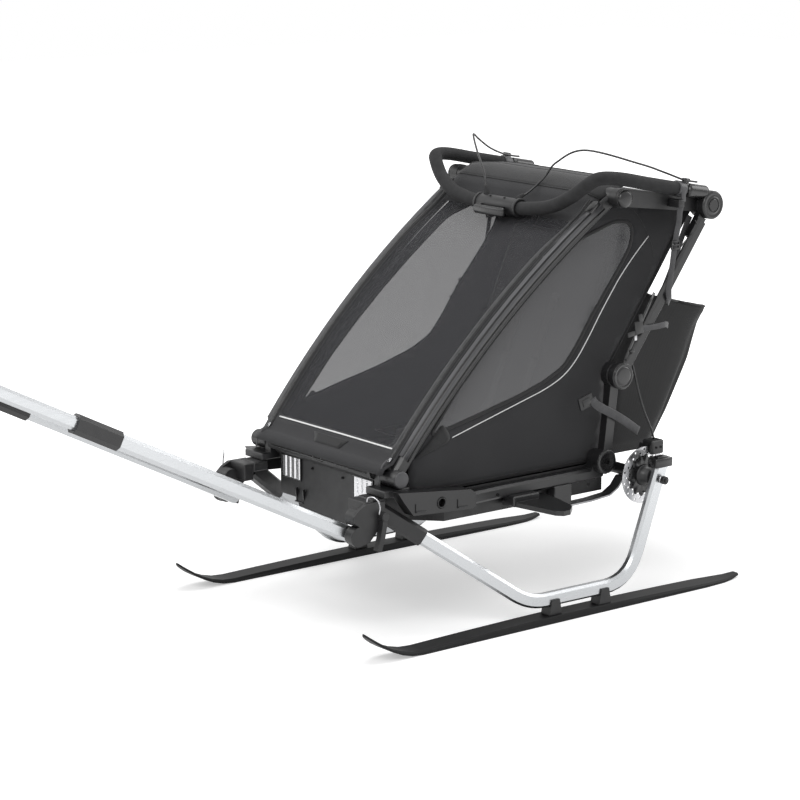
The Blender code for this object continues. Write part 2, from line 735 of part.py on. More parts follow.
def add_pole_clamp(side):
    """The bracket on the socket: a barrel on top, and below it the drum that the pole turns in."""
    outline = [(-0.4470, 0.3350), (-0.4470, 0.2880), (-0.4740, 0.2620), (-0.4920, 0.2440)]
    outline += arc(POLE_PIVOT, 0.0235, -60, -270, 10)
    outline += [(-0.5340, 0.2960), (-0.5340, 0.3120), (-0.5200, 0.3250), (-0.5000, 0.3350)]
    ear = plate(outline[::-1], POLE_DRUM_OUT - 0.002, POLE_DRUM_OUT + 0.008)
    back = box((LUG_IN, -0.4990, 0.2960), (POLE_DRUM_OUT, -0.4722 - GAP, 0.3380), 0.002)
    top = drum((-0.5150, 0.3040), 0.2400, POLE_DRUM_OUT + 0.004, 0.0200, 24, 0.002)
    barrel = drum(POLE_PIVOT, POLE_DRUM_IN, POLE_DRUM_OUT, POLE_DRUM_RADIUS, 24, 0.002)
    bore = drum(POLE_PIVOT, POLE_DRUM_IN - 0.002, POLE_DRUM_OUT - 0.004, POLE_STUB_RADIUS + PIN_PLAY, 20)
    place("pole_clamp_" + suffix(side), mirror_x(cut(join(ear, back, top, barrel), bore), side), "plastic")


def pole_point(distance, drop=0.0):
    """A point of the side view along the pole's straight run."""
    y = POLE_PIVOT[0] - distance * math.cos(POLE_PITCH)
    return (y, POLE_PIVOT[1] + distance * math.sin(POLE_PITCH) - drop)


def add_tow_pole(side):
    """A pole in two lengths and their coupling, turning on the lower length's bent end."""
    pivot = flat_point(POLE_PIVOT, side * POLE_DRUM_IN)
    start = flat_point(pole_point(-0.012), POLE_END_X)
    bend = flat_point(pole_point(POLE_BEND), POLE_X)
    end = flat_point(pole_point(LOWER_POLE), POLE_X)
    run = bar(rounded_route([start, bend, end], [0.060], 6), LOWER_POLE_WIDTH, LOWER_POLE_DEPTH, 0.008)
    hollow = [flat_point(pole_point(POLE_BEND + 0.070), POLE_X), flat_point(pole_point(LOWER_POLE + 0.01), POLE_X)]
    run = cut(run, bar(hollow, LOWER_POLE_WIDTH - 2 * POLE_WALL, LOWER_POLE_DEPTH - 2 * POLE_WALL, 0.006))
    stub = drum(POLE_PIVOT, POLE_END_X, POLE_DRUM_OUT - 0.004 - GAP, POLE_STUB_RADIUS, 20)
    place("tow_pole_lower_" + suffix(side), mirror_x(join(run, stub), side), "silver", pivot)
    begin = flat_point(pole_point(LOWER_POLE + GAP), POLE_X)
    finish = flat_point(pole_point(LOWER_POLE + UPPER_POLE), POLE_X)
    upper = bar([begin, finish], UPPER_POLE_WIDTH, UPPER_POLE_DEPTH, 0.007)
    along = (finish - begin).normalized() * 0.01
    upper = cut(upper, bar([begin - along, finish + along], UPPER_POLE_WIDTH - 2 * POLE_WALL,
                           UPPER_POLE_DEPTH - 2 * POLE_WALL, 0.005))
    place("tow_pole_upper_" + suffix(side), mirror_x(upper, side), "silver", pivot)
    back = flat_point(pole_point(LOWER_POLE - 0.050), POLE_X)
    front = flat_point(pole_point(LOWER_POLE + 0.070), POLE_X)
    outer = bar([back, front], LOWER_POLE_WIDTH + 0.008, LOWER_POLE_DEPTH + 0.008, 0.010)
    room_low = bar([flat_point(pole_point(LOWER_POLE - 0.070), POLE_X),
                    flat_point(pole_point(LOWER_POLE + GAP / 2), POLE_X)],
                   LOWER_POLE_WIDTH + 2 * GAP, LOWER_POLE_DEPTH + 2 * GAP, 0.008)
    room_high = bar([flat_point(pole_point(LOWER_POLE - 0.002), POLE_X),
                     flat_point(pole_point(LOWER_POLE + 0.090), POLE_X)],
                    UPPER_POLE_WIDTH + 2 * GAP, UPPER_POLE_DEPTH + 2 * GAP, 0.007)
    place("pole_coupling_" + suffix(side), mirror_x(cut(outer, room_low, room_high), side), "plastic", pivot)


LEVER_PIVOT = (-0.458, 0.303)


def add_clamp_lever(side):
    """The over-centre lever that hangs beside the clamp."""
    x_low = POLE_DRUM_OUT + 0.008 + GAP
    line = [LEVER_PIVOT, (-0.460, 0.280), (-0.466, 0.252), (-0.475, 0.224)]
    lever = plate(strip(line, 0.013), x_low, x_low + 0.016)
    boss = drum(LEVER_PIVOT, x_low, x_low + 0.018, 0.010, 16, 0.001)
    place("clamp_lever_" + suffix(side), mirror_x(join(lever, boss), side), "plastic",
          flat_point(LEVER_PIVOT, side * x_low))


# Folding frame


def add_pillar(side):
    """The front pillar, from the drum at the floor to the drum at the roof."""
    points = [(pillar_x(step / 16.0), *pillar_point(step / 16.0)) for step in range(17)]
    tube_ = bar(points, PILLAR_WIDTH, PILLAR_DEPTH)
    low = drum(FRONT_PIVOT, FRONT_DRUM_IN, FRONT_DRUM_OUT, FRONT_DRUM_RADIUS, 24, 0.0015)
    high = drum(ROOF_PIVOT, LAYER_IN, LAYER_MID - GAP, ROOF_DRUM_RADIUS, 24, 0.0015)
    low_bore = drum(FRONT_PIVOT, FRONT_DRUM_IN - 0.01, FRONT_DRUM_OUT - 0.004, PIN_RADIUS + PIN_PLAY, 16)
    high_bore = drum(ROOF_PIVOT, LAYER_IN + 0.004, LAYER_MID + 0.01, PIN_RADIUS + PIN_PLAY, 16)
    room = drum(ROOF_PIVOT, LAYER_MID - GAP, LAYER_OUT, ROOF_DRUM_RADIUS + 0.03, 16)
    solid = cut(join(tube_, low, high), low_bore, high_bore, room)
    place("pillar_" + suffix(side), mirror_x(solid, side), "dark_tube", flat_point(FRONT_PIVOT, side * FRONT_DRUM_IN))


def add_top_rail(side):
    """The flat roof rail from the roof pivot to the hub, with the roof pivot's pin."""
    outline = eyed_bar(ROOF_PIVOT, HUB_PIVOT, ROOF_DRUM_RADIUS + 0.001, HUB_RADIUS - 0.002, 0.040)
    rail = plate(outline, LAYER_MID, LAYER_OUT - GAP)
    cap = drum(ROOF_PIVOT, LAYER_OUT - 0.002, LAYER_OUT + 0.008, ROOF_DRUM_RADIUS, 24, 0.002)
    pin = drum(ROOF_PIVOT, LAYER_IN + 0.006, LAYER_MID + 0.004, PIN_RADIUS, 16)
    bore = drum(HUB_PIVOT, LAYER_MID - 0.01, LAYER_OUT + 0.01, CROSSBAR_RADIUS + PIN_PLAY, 20)
    solid = cut(join(rail, cap, pin), bore)
    place("top_rail_" + suffix(side), mirror_x(solid, side), "plastic", flat_point(ROOF_PIVOT, side * LAYER_MID))


def rear_leg_point(share):
    return between(HUB_PIVOT, MID_PIVOT, share)


def add_rear_frame():
    """Both rear legs outside the rails, joined by the cross tube that the hubs turn on."""
    x = (LEG_IN + LEG_OUT) / 2.0
    pieces = []
    for side in (1, -1):
        leg = bar([(x, *rear_leg_point(0.1)), (x, *rear_leg_point(1.0))], LEG_OUT - LEG_IN, REAR_TUBE_DEPTH)
        tang = plate(strip([rear_leg_point(0.0), rear_leg_point(0.20)], REAR_TUBE_DEPTH - 0.004),
                     LAYER_OUT, LEG_IN + 0.006)
        top = drum(HUB_PIVOT, LAYER_OUT, LEG_IN - GAP, HUB_RADIUS - 0.001, 24)
        axle = drum(HUB_PIVOT, LAYER_OUT + 0.004, HUB_PIN_END, PIN_RADIUS, 16)
        eye = drum(MID_PIVOT, LEG_IN, LEG_OUT, MID_DRUM_RADIUS, 24, 0.0015)
        eye_bore = drum(MID_PIVOT, LEG_IN - 0.01, LEG_OUT - 0.004, PIN_RADIUS + MID_PIVOT_PLAY, 20)
        hub_room = drum(HUB_PIVOT, LEG_IN - GAP, HUB_END, HUB_RADIUS + 0.0015, 24)
        solid = join(cut(join(leg, tang, top, eye), eye_bore, hub_room), axle)
        pieces.append(mirror_x(solid, side))
    cross = drum(HUB_PIVOT, -LAYER_OUT - 0.004, LAYER_OUT + 0.004, CROSSBAR_RADIUS, 20)
    place("rear_frame", join(cross, *pieces), "dark_tube", flat_point(HUB_PIVOT))


def add_rear_link(side):
    """The short link between the lower and the mid hinge, with the mid hinge's boss and pin."""
    bar_ = plate(eyed_bar(LOW_PIVOT, MID_PIVOT, LOW_DRUM_RADIUS, MID_DRUM_RADIUS - 0.003, LINK_WIDTH),
                 LAYER_MID, LAYER_OUT - GAP)
    boss = drum(MID_PIVOT, LAYER_OUT - 0.002, LEG_IN - GAP, MID_DRUM_RADIUS - 0.005, 24)
    pin = drum(MID_PIVOT, LEG_IN - 0.003, LEG_OUT - 0.0055, PIN_RADIUS, 16)
    bore = drum(LOW_PIVOT, LAYER_MID - 0.01, LAYER_OUT + 0.01, PIN_RADIUS + PIN_PLAY, 16)
    solid = cut(join(bar_, boss, pin), bore)
    place("rear_link_" + suffix(side), mirror_x(solid, side), "dark_tube", flat_point(LOW_PIVOT, side * LAYER_MID))


# Handlebar

BAR_ROUTE = ((0.3225, 0.5000, 0.9700), (0.3230, 0.4300, 0.9830), (0.3230, 0.3170, 1.0050), (0.3200, 0.2240, 1.0240),
             (0.3060, 0.1720, 1.0270), (0.2850, 0.1540, 1.0120), (0.2400, 0.1380, 0.9780), (0.1800, 0.1280, 0.9510),
             (0.0900, 0.1240, 0.9370), (0.0300, 0.1240, 0.9365))
BUTTON_RADIUS = 0.0150
BUTTON_DEPTH = 0.0065
BUTTON_PROUD = 0.0030
HUB_PIN_END = 0.3245


def add_handlebar():
    left = [Vector(p) for p in BAR_ROUTE]
    right = [Vector((-p.x, p.y, p.z)) for p in reversed(left)]
    route = smooth_route(left + right, 38)
    room = [drum(HUB_PIVOT, low, high, HUB_RADIUS + 2 * GAP, 24) for low, high in ((-0.36, -0.25), (0.25, 0.36))]
    grip = cut(tube(route, GRIP_RADIUS, 2), *room)
    place("handlebar", grip, "foam", flat_point(HUB_PIVOT))


def add_hub(side):
    """The hub shell that turns with the handlebar, with the pocket of its button."""
    shell = drum(HUB_PIVOT, LEG_IN, HUB_END, HUB_RADIUS, 24, 0.002)
    bore = drum(HUB_PIVOT, LEG_IN - 0.01, HUB_PIN_END + 0.001, PIN_RADIUS + PIN_PLAY, 16)
    pocket = drum(HUB_PIVOT, HUB_END - BUTTON_DEPTH - BUTTON_TRAVEL, HUB_END + 0.01, BUTTON_RADIUS + PIN_PLAY, 20)
    place("hub_shell_" + suffix(side), mirror_x(cut(shell, bore, pocket), side), "plastic",
          flat_point(HUB_PIVOT, side * LEG_IN))
    button = drum(HUB_PIVOT, HUB_END - BUTTON_DEPTH + GAP, HUB_END + BUTTON_PROUD, BUTTON_RADIUS, 20, 0.0015)
    place("hub_button_" + suffix(side), mirror_x(button, side), "plastic", flat_point(HUB_PIVOT, side * HUB_END))


def add_brake_lever():
    """The brake's housing round the middle of the grip, and the lever hinged on its front."""
    y, z = BAR_ROUTE[-1][1:]
    half = HOUSING_LENGTH / 2.0
    hinge = (y - 0.032, z - 0.002)
    outer = drum((y, z), -half, half, HOUSING_RADIUS, 20, 0.003)
    ears = [box((low, y - 0.040, z - 0.012), (high, y - 0.012, z + 0.008), 0.002)
            for low, high in ((-half + 0.006, -half + 0.016), (half - 0.016, half - 0.006))]
    room = drum((y, z - 0.0005), -half - 0.01, half + 0.01, GRIP_RADIUS + 0.0017, 24)
    pin = drum(hinge, -half + 0.008, half - 0.008, 0.003, 12)
    place("brake_housing", cut(join(outer, *ears, pin), room), "plastic", flat_point(HUB_PIVOT))
    blade = box((-half + 0.017, y - 0.050, z - 0.007), (half - 0.017, y - 0.026, z + 0.003), 0.002)
    finger = box((-half + 0.024, y - 0.052, z - 0.026), (half - 0.024, y - 0.046, z + 0.001), 0.002)
    bore = drum(hinge, -half, half, 0.003 + PIN_PLAY, 12)
    place("brake_lever", cut(join(blade, finger), bore), "plastic", flat_point(hinge))


CABLE_LEFT = ((0.0620, 0.1310, 0.9596), (0.0660, 0.1600, 0.9720), (0.0760, 0.2000, 1.0050), (0.1000, 0.2180, 1.0430),
              (0.1600, 0.2560, 1.0750), (0.2600, 0.3440, 1.0450), (0.3100, 0.3800, 1.0260), (0.3290, 0.4250, 1.0070),
              (0.3330, 0.4650, 0.9990))
CABLE_RIGHT = ((-0.0550, 0.1280, 0.9584), (-0.0750, 0.1353, 1.0080), (-0.1200, 0.1500, 1.0570),
               (-0.1600, 0.1720, 1.0850), (-0.1800, 0.1900, 1.0890), (-0.2100, 0.2311, 1.0710),
               (-0.2600, 0.3093, 1.0390),
               (-0.3100, 0.3950, 1.0130), (-0.3300, 0.4500, 1.0010), (-0.3330, 0.4700, 0.9980))
LOWER_CABLE = ((0.3000, 0.5160, 0.9000), (0.3010, 0.5000, 0.8700), (0.3010, 0.4500, 0.8150), (0.3010, 0.4000, 0.7350),
               (0.3000, 0.3300, 0.6300), (0.3080, 0.2850, 0.5900), (0.3330, 0.2740, 0.5400), (0.3450, 0.2880, 0.4700),
               (0.3450, 0.3180, 0.4100), (0.3450, 0.3270, 0.3850))


def add_cables(side):
    upper = tube(smooth_route(CABLE_LEFT if side > 0 else CABLE_RIGHT, 34), CABLE_RADIUS, 2)
    place("brake_cable_%s" % suffix(side), upper, "cable", flat_point(HUB_PIVOT))
    lower = tube(smooth_route([(side * x, y, z) for x, y, z in LOWER_CABLE], 36), CABLE_RADIUS, 2)
    place("caliper_cable_%s" % suffix(side), lower, "cable", flat_point(HUB_PIVOT))


# Cabin


def add_front_cover():
    """The screen between the pillars, from the bumper's lip to the roof."""
    def surface(u, v):
        share = COVER_START + (1.0 - COVER_START) * v
        half = pillar_x(share) - PILLAR_WIDTH / 2.0 - SOFT_GAP
        swell = 0.006 * math.sin(math.pi * u) * math.sin(math.pi * v)
        y, z = pillar_point(share, 0.0180 - 0.0150 * v + swell)
        return ((2.0 * u - 1.0) * half, y, z)

    place("front_cover", sheet(surface, 6, 14, COVER_THICK), "mesh", flat_point(FRONT_PIVOT))


def add_roof_panel():
    def surface(u, v):
        half = LAYER_MID - SOFT_GAP
        y = ROOF_PIVOT[0] + 0.020 + (HUB_PIVOT[0] - ROOF_PIVOT[0] - 0.040) * v
        z = ROOF_PIVOT[1] + 0.026 - 0.052 * v * v + 0.006 * math.sin(math.pi * u)
        return ((2.0 * u - 1.0) * half, y, z)

    place("roof_panel", sheet(surface, 6, 5, PANEL_THICK), "fabric", flat_point(ROOF_PIVOT))


def leg_height(y):
    """Height of the rear leg's line over a point of the floor."""
    share = (y - MID_PIVOT[0]) / (HUB_PIVOT[0] - MID_PIVOT[0])
    return between(MID_PIVOT, HUB_PIVOT, share)[1]


def add_side_panel(side):
    """The cloth side wall with its window, from the tray up to the pillar, the top rail and the rear leg."""
    def surface(u, v):
        y = -0.360 + 0.850 * u
        rim = TRAY_BOTTOM + TRAY_HEIGHT + SOFT_GAP
        low = rim if y < 0.207 else max(rim, leg_height(y) - 0.0085)
        roof = between(ROOF_PIVOT, HUB_PIVOT, (y - ROOF_PIVOT[0]) / (HUB_PIVOT[0] - ROOF_PIVOT[0]))[1] - 0.012
        top = max(min(roof, pillar_underside(y, SOFT_GAP)), low + 0.006)
        x = 0.2590 if v < 0.01 else LAYER_IN - 0.0150 + 0.0040 * v + 0.006 * math.sin(math.pi * v)
        return (x, y, low + (top - low) * v)

    place("side_panel_" + suffix(side), mirror_x(sheet(surface, 30, 6, PANEL_THICK), side), "fabric")


def seat_back_point(share, forward=0.0):
    """A point of the side view up the seat's back, moved forward of it."""
    y, z = between(SEAT_BACK_FOOT, SEAT_BACK_HEAD, share)
    return (y - forward, z)


def add_seat():
    """The seat: a cushion on the tray, a back that hangs behind it and the child's harness."""
    base = box((-SEAT_HALF, -0.130, TRAY_BOTTOM + WALL + GAP), (SEAT_HALF, SEAT_BACK_FOOT[0] - 0.0088, 0.3900), 0.012)
    place("seat_cushion", base, "fabric")

    def back(u, v):
        return ((2.0 * u - 1.0) * SEAT_HALF, *seat_back_point(v))

    place("seat_back", sheet(back, 2, 4, SEAT_BACK_THICK), "fabric", flat_point(HUB_PIVOT))
    forward = SEAT_BACK_THICK / 2.0 + 0.0072
    straps = []
    for x in (-0.055, 0.055):
        route = [(x * 0.45, 0.050, 0.3975), (x * 0.9, 0.115, 0.4150)]
        route += [(x, *seat_back_point(share, forward)) for share in (0.22, 0.45, 0.72)]
        straps.append(bar(route, 0.030, 0.008, 0.002))
    buckle = box((-0.036, 0.020, 0.3906), (0.036, 0.072, 0.4060), 0.003)
    place("harness", join(buckle, *straps), "webbing")


REAR_PANEL_TURN = 0.94
REAR_PANEL_FOOT = (0.2400, 0.3290)
REAR_PANEL_LOW_HALF = 0.2440


def add_rear_panel():
    """The cloth rear wall, down between the legs and then upright behind the tray."""
    def surface(u, v):
        half = LAYER_IN - 0.0020 if v < 0.55 else REAR_PANEL_LOW_HALF
        upper = min(v / 0.6, 1.0)
        y, z = rear_leg_point(REAR_PANEL_TURN * upper)
        y, z = y + 0.0129, z - 0.004
        if v > 0.6:
            y, z = between((y - 0.0060, z), REAR_PANEL_FOOT, (v - 0.6) / 0.4)
        return ((2.0 * u - 1.0) * half, y, z)

    place("rear_panel", sheet(surface, 2, 10, PANEL_THICK), "fabric", flat_point(HUB_PIVOT))


def add_cargo_bag():
    """The luggage bag behind the seat, open at the top."""
    beam_top = AXLE[1] + BEAM_RADIUS + SOFT_GAP
    levels = ((beam_top, 0.2620, 0.4865, 0.80, 0.0), (0.4120, 0.2620, 0.5245, 0.95, 0.0),
              (0.5370, 0.2620, 0.5855, 1.0, 0.0), (0.6200, 0.3350, 0.6115, 1.0, 0.040),
              (0.6560, 0.3800, 0.6315, 1.0, 0.066))
    outer, inner = [], []
    for level, front, rear, share, rise in levels:
        middle, half = (front + rear) / 2.0, (rear - front) / 2.0
        for rings, wall, corner in ((outer, 0.0, 0.025), (inner, WALL, 0.022)):
            ring = oblong((0.0, middle), BAG_HALF * share - wall, half - wall, level, corner)
            rings.append([(x, y, z + rise * (rear - y) / (2.0 * half)) for x, y, z in ring])
    floor = [(x, y, z + WALL) for x, y, z in inner[0]]
    mouth = [(x, y, z + 0.02) for x, y, z in inner[-1]]
    bag = cut(loft(outer), loft([floor] + inner[1:] + [mouth]))
    place("cargo_bag", bag, "fabric", flat_point(HUB_PIVOT))


def centre_along():
    """Move every piece along Y, so that the origin lies under the middle of the whole box."""
    ends = [obj.location.y + corner[1] for obj in PARTS.objects for corner in obj.bound_box]
    middle = (min(ends) + max(ends)) / 2.0
    for obj in PARTS.objects:
        obj.location.y -= middle


def build():
    for side in (1, -1):
        add_ski(side)
        add_ski_arm(side)
        add_arm_socket(side)
        add_ski_clamps(side)
        add_arm_button(side)
        add_side_rail(side)
        add_leaf_spring(side)
        add_brake(side)
        add_pole_clamp(side)
        add_tow_pole(side)
        add_clamp_lever(side)
        add_pillar(side)
        add_top_rail(side)
        add_rear_link(side)
        add_hub(side)
        add_cables(side)
        add_side_panel(side)
    add_floor_tray()
    add_front_bumper()
    add_axle_beam()
    add_rear_frame()
    add_handlebar()
    add_brake_lever()
    add_front_cover()
    add_roof_panel()
    add_seat()
    add_rear_panel()
    add_cargo_bag()
    centre_along()


clear_scene()
PARTS = make_collection("child_bike_trailer")
CUTTERS = make_collection("cutters")
MATERIALS = make_materials()
build()
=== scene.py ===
# %% [markdown]
# # A child bike trailer on skis
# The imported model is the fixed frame: its solids are right in size, and this script gives them
# their looks. Rigid pieces keep their solid and get a finish. Cloth, cables and small fittings are
# made here and ride on the same bodies, so that they move when the trailer folds.

# %% Load the frame
import math

import bmesh
import bpy
from mathutils import Matrix, Vector


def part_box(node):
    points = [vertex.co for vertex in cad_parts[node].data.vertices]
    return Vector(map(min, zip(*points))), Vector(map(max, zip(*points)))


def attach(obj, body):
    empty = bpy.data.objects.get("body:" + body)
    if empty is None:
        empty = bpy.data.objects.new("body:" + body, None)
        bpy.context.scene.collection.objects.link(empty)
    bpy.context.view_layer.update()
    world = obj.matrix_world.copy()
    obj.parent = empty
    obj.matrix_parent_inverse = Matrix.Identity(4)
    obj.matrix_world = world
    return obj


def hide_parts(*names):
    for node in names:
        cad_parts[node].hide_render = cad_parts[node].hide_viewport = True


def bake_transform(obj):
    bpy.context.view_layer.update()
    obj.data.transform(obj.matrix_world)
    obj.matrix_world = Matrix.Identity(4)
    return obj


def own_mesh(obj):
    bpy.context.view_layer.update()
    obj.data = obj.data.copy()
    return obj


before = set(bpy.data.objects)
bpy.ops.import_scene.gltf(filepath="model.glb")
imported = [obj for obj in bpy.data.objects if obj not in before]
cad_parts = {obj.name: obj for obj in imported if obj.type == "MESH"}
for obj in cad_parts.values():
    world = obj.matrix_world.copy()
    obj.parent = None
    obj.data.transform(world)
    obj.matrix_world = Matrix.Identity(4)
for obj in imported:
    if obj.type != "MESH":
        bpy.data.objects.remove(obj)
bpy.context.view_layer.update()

# %% [markdown]
# ## Where things are
# The trailer was measured with Y = 0 over the middle of the skis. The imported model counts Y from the
# middle of its whole box instead, which the long tow poles pull forward. The brake rotor's centre is
# known in both, so it gives the distance between the two.

# %% The measured frame
AXLE = (0.291, 0.301)
FRONT_PIVOT = (-0.404, 0.379)
ROOF_PIVOT = (0.243, 0.975)
HUB_PIVOT = (0.516, 0.939)
MID_PIVOT = (0.232, 0.55)
LOW_PIVOT = (0.207, 0.338)
rotor_low, rotor_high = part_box("brake_rotor_left")
AHEAD = (rotor_low.y + rotor_high.y) / 2 - AXLE[0]
print("measured places move", round(AHEAD * 1000, 1), "mm along Y")

# %% [markdown]
# ## Camera
# The photograph was taken from the left front, a little above the roof, with a long lens: its far
# side is hardly smaller than its near side. The direction is given as two angles, and the lens as
# its focal length on a 36 mm sensor.

# %% Camera
CAMERA_PLACE = (4.9503, -4.065, 1.8327)
CAMERA_TURN = 0.9061
CAMERA_FALL = 0.2103
SENSOR, FOCAL_LENGTH = 36.0, 120.36


def add_object(name, data):
    made = bpy.data.objects.new(name, data)
    bpy.context.scene.collection.objects.link(made)
    return made


camera_data = bpy.data.cameras.new("photo_camera")
camera_data.sensor_width = SENSOR
camera_data.lens = FOCAL_LENGTH
camera = add_object("photo_camera", camera_data)
camera.location = (CAMERA_PLACE[0], CAMERA_PLACE[1] + AHEAD, CAMERA_PLACE[2])
looking = Vector((-math.sin(CAMERA_TURN) * math.cos(CAMERA_FALL),
                  math.cos(CAMERA_TURN) * math.cos(CAMERA_FALL), -math.sin(CAMERA_FALL)))
camera.rotation_euler = looking.to_track_quat("-Z", "Y").to_euler()
bpy.context.scene.camera = camera
print("camera", [round(v, 3) for v in camera.location])

# %% [markdown]
# ## Colour and nodes
# Colours are read from a picture as sRGB hex values, but shaders work in linear light, so one
# function turns one into the other. A second function adds a node with its settings and its links:
# a value that is a socket is linked, and any other value is set. A Mix node shows its colours as its
# sockets 6 and 7 and gives them out as 2, because their names are shared with those of other types.

# %% Colour and node helpers
def colour(hex_value):
    """The linear colour of an sRGB hex value, as four numbers."""
    parts = [int(hex_value[place:place + 2], 16) / 255 for place in (1, 3, 5)]
    return tuple(c / 12.92 if c <= 0.04045 else ((c + 0.055) / 1.055) ** 2.4 for c in parts) + (1.0,)


def add_node(tree, kind, inputs=None, **settings):
    node = tree.nodes.new(kind)
    for name, value in settings.items():
        setattr(node, name, value)
    for name, value in (inputs or {}).items():
        socket = node.inputs[name]
        if isinstance(value, bpy.types.NodeSocket):
            tree.links.new(value, socket)
        else:
            socket.default_value = value
    return node


def start_material(name, base, roughness, **inputs):
    """A material with its Principled shader; inputs are more of the shader's sockets."""
    material = bpy.data.materials.new(name)
    material.use_nodes = True
    shader = material.node_tree.nodes["Principled BSDF"]
    shader.inputs["Base Color"].default_value = colour(base)
    shader.inputs["Roughness"].default_value = roughness
    for socket, value in inputs.items():
        shader.inputs[socket.replace("_", " ")].default_value = value
    return material, material.node_tree, shader


# %% [markdown]
# ## Studio
# The product stands on a white sweep with a soft shadow under it. The floor is pale, and a part of
# its brightness is added only for rays that the camera, a gloss or a glass sends, so the object is
# lit at a plain level while the picture's ground is white. That part grows with the distance from the
# trailer, where the lamps reach less.

# %% Floor, world and lamps
FLOOR_DEPTH, FLOOR_REACH = -0.0005, 14.0
WHITE = (1.0, 1.0, 1.0, 1.0)
LIT_LEVEL = 0.42
LAMPS = (("key", (2.6, -2.6, 3.6), 2.6, 95), ("fill", (-3.2, -2.4, 3.0), 3.0, 45),
         ("top", (0.0, 0.8, 4.2), 3.2, 75), ("back", (1.2, 4.2, 2.4), 2.4, 45))
LAMP_AIM = (0.0, 0.4, 0.5)


def seen_rays(tree):
    """1 for rays from the camera, a gloss or a clear piece, and 0 for the light that falls on things."""
    path = add_node(tree, "ShaderNodeLightPath")
    glossy = add_node(
        tree, "ShaderNodeMath", {0: path.outputs["Is Camera Ray"], 1: path.outputs["Is Glossy Ray"]},
        operation="MAXIMUM")
    return add_node(tree, "ShaderNodeMath", {0: glossy.outputs[0], 1: path.outputs["Is Transmission Ray"]},
                    operation="MAXIMUM").outputs[0]


def make_studio():
    world = bpy.data.worlds.new("studio")
    bpy.context.scene.world = world
    world.use_nodes = True
    tree = world.node_tree
    background = tree.nodes["Background"]
    background.inputs["Color"].default_value = WHITE
    level = add_node(
        tree, "ShaderNodeMapRange", {"Value": seen_rays(tree), "To Min": LIT_LEVEL, "To Max": 1.0})
    tree.links.new(level.outputs["Result"], background.inputs["Strength"])

    material, tree, shader = start_material("white_paper_sweep", "#e6e6e6", 1.0, Specular_IOR_Level=0.0)
    shader.inputs["Emission Color"].default_value = WHITE
    place = add_node(tree, "ShaderNodeTexCoord").outputs["Object"]
    away = add_node(tree, "ShaderNodeVectorMath", {0: place}, operation="LENGTH")
    level = add_node(tree, "ShaderNodeMapRange",
                     {"Value": away.outputs["Value"], "From Min": 1.2, "From Max": 2.8, "To Min": LIT_LEVEL,
                      "To Max": 1.2}, interpolation_type="SMOOTHSTEP")
    glow = add_node(
        tree, "ShaderNodeMath", {0: seen_rays(tree), 1: level.outputs["Result"]}, operation="MULTIPLY")
    tree.links.new(glow.outputs[0], shader.inputs["Emission Strength"])
    mesh = bpy.data.meshes.new("floor")
    corners = ((-1, -1), (1, -1), (1, 1), (-1, 1))
    mesh.from_pydata(
        [(x * FLOOR_REACH, y * FLOOR_REACH, FLOOR_DEPTH) for x, y in corners], [], [(0, 1, 2, 3)])
    mesh.materials.append(material)
    add_object("floor", mesh)

    for name, place, size, power in LAMPS:
        light = bpy.data.lights.new(name, "AREA")
        light.shape = "DISK"
        light.size = size
        light.energy = power
        lamp = add_object(name, light)
        lamp.location = place
        lamp.rotation_euler = (Vector(LAMP_AIM) - Vector(place)).to_track_quat("-Z", "Y").to_euler()


make_studio()
bpy.context.scene.view_settings.view_transform = "Standard"
print("studio: a white floor,", len(LAMPS), "soft lamps and a pale world")

# %% [markdown]
# ## Hard finishes
# Moulded nylon and ABS come out of a spark-eroded tool with a fine grain, so their gloss breaks up.
# Real edges are never sharp: the Bevel node rounds the normal at every edge, which draws the thin
# bright line that the eye expects there. The grain is about 0.5 mm on the real parts, and is drawn
# at 1.2 mm so that it shows at this distance.

# %% Moulded plastic
MM = 0.001


def object_place(tree):
    return add_node(tree, "ShaderNodeTexCoord").outputs["Object"]


def grain_bump(tree, shader, size, depth, strength=0.5, edge=0.0008):
    """A fine cast grain of the given size in metres, over edges rounded by the given radius."""
    rounded = add_node(tree, "ShaderNodeBevel", {"Radius": edge}, samples=4)
    noise = add_node(
        tree, "ShaderNodeTexNoise", {"Vector": object_place(tree), "Scale": 1 / size, "Detail": 3.0})
    bump = add_node(tree, "ShaderNodeBump",
                    {"Height": noise.outputs["Fac"], "Distance": depth, "Strength": strength,
                     "Normal": rounded.outputs["Normal"]})
    tree.links.new(bump.outputs["Normal"], shader.inputs["Normal"])
    return noise


def cloudy(tree, low, high, size):
    """A value that wanders between low and high over patches of the given size in metres."""
    noise = add_node(
        tree, "ShaderNodeTexNoise", {"Vector": object_place(tree), "Scale": 1 / size, "Detail": 3.0})
    return add_node(tree, "ShaderNodeMapRange",
                    {"Value": noise.outputs["Fac"], "From Min": 0.3, "From Max": 0.7, "To Min": low,
                     "To Max": high}).outputs["Result"]


def cloudy_colour(tree, dark, pale, size):
    factor = cloudy(tree, 0.0, 1.0, size)
    return add_node(tree, "ShaderNodeMix", {"Factor": factor, 6: colour(dark), 7: colour(pale)},
                    data_type="RGBA").outputs[2]


def moulded(name, dark, pale, rough, grain=1.2 * MM):
    material, tree, shader = start_material(name, dark, 0.5, IOR=1.5)
    tree.links.new(cloudy_colour(tree, dark, pale, 0.09), shader.inputs["Base Color"])
    tree.links.new(cloudy(tree, rough - 0.06, rough + 0.06, 0.03), shader.inputs["Roughness"])
    grain_bump(tree, shader, grain, 0.00012)
    return material


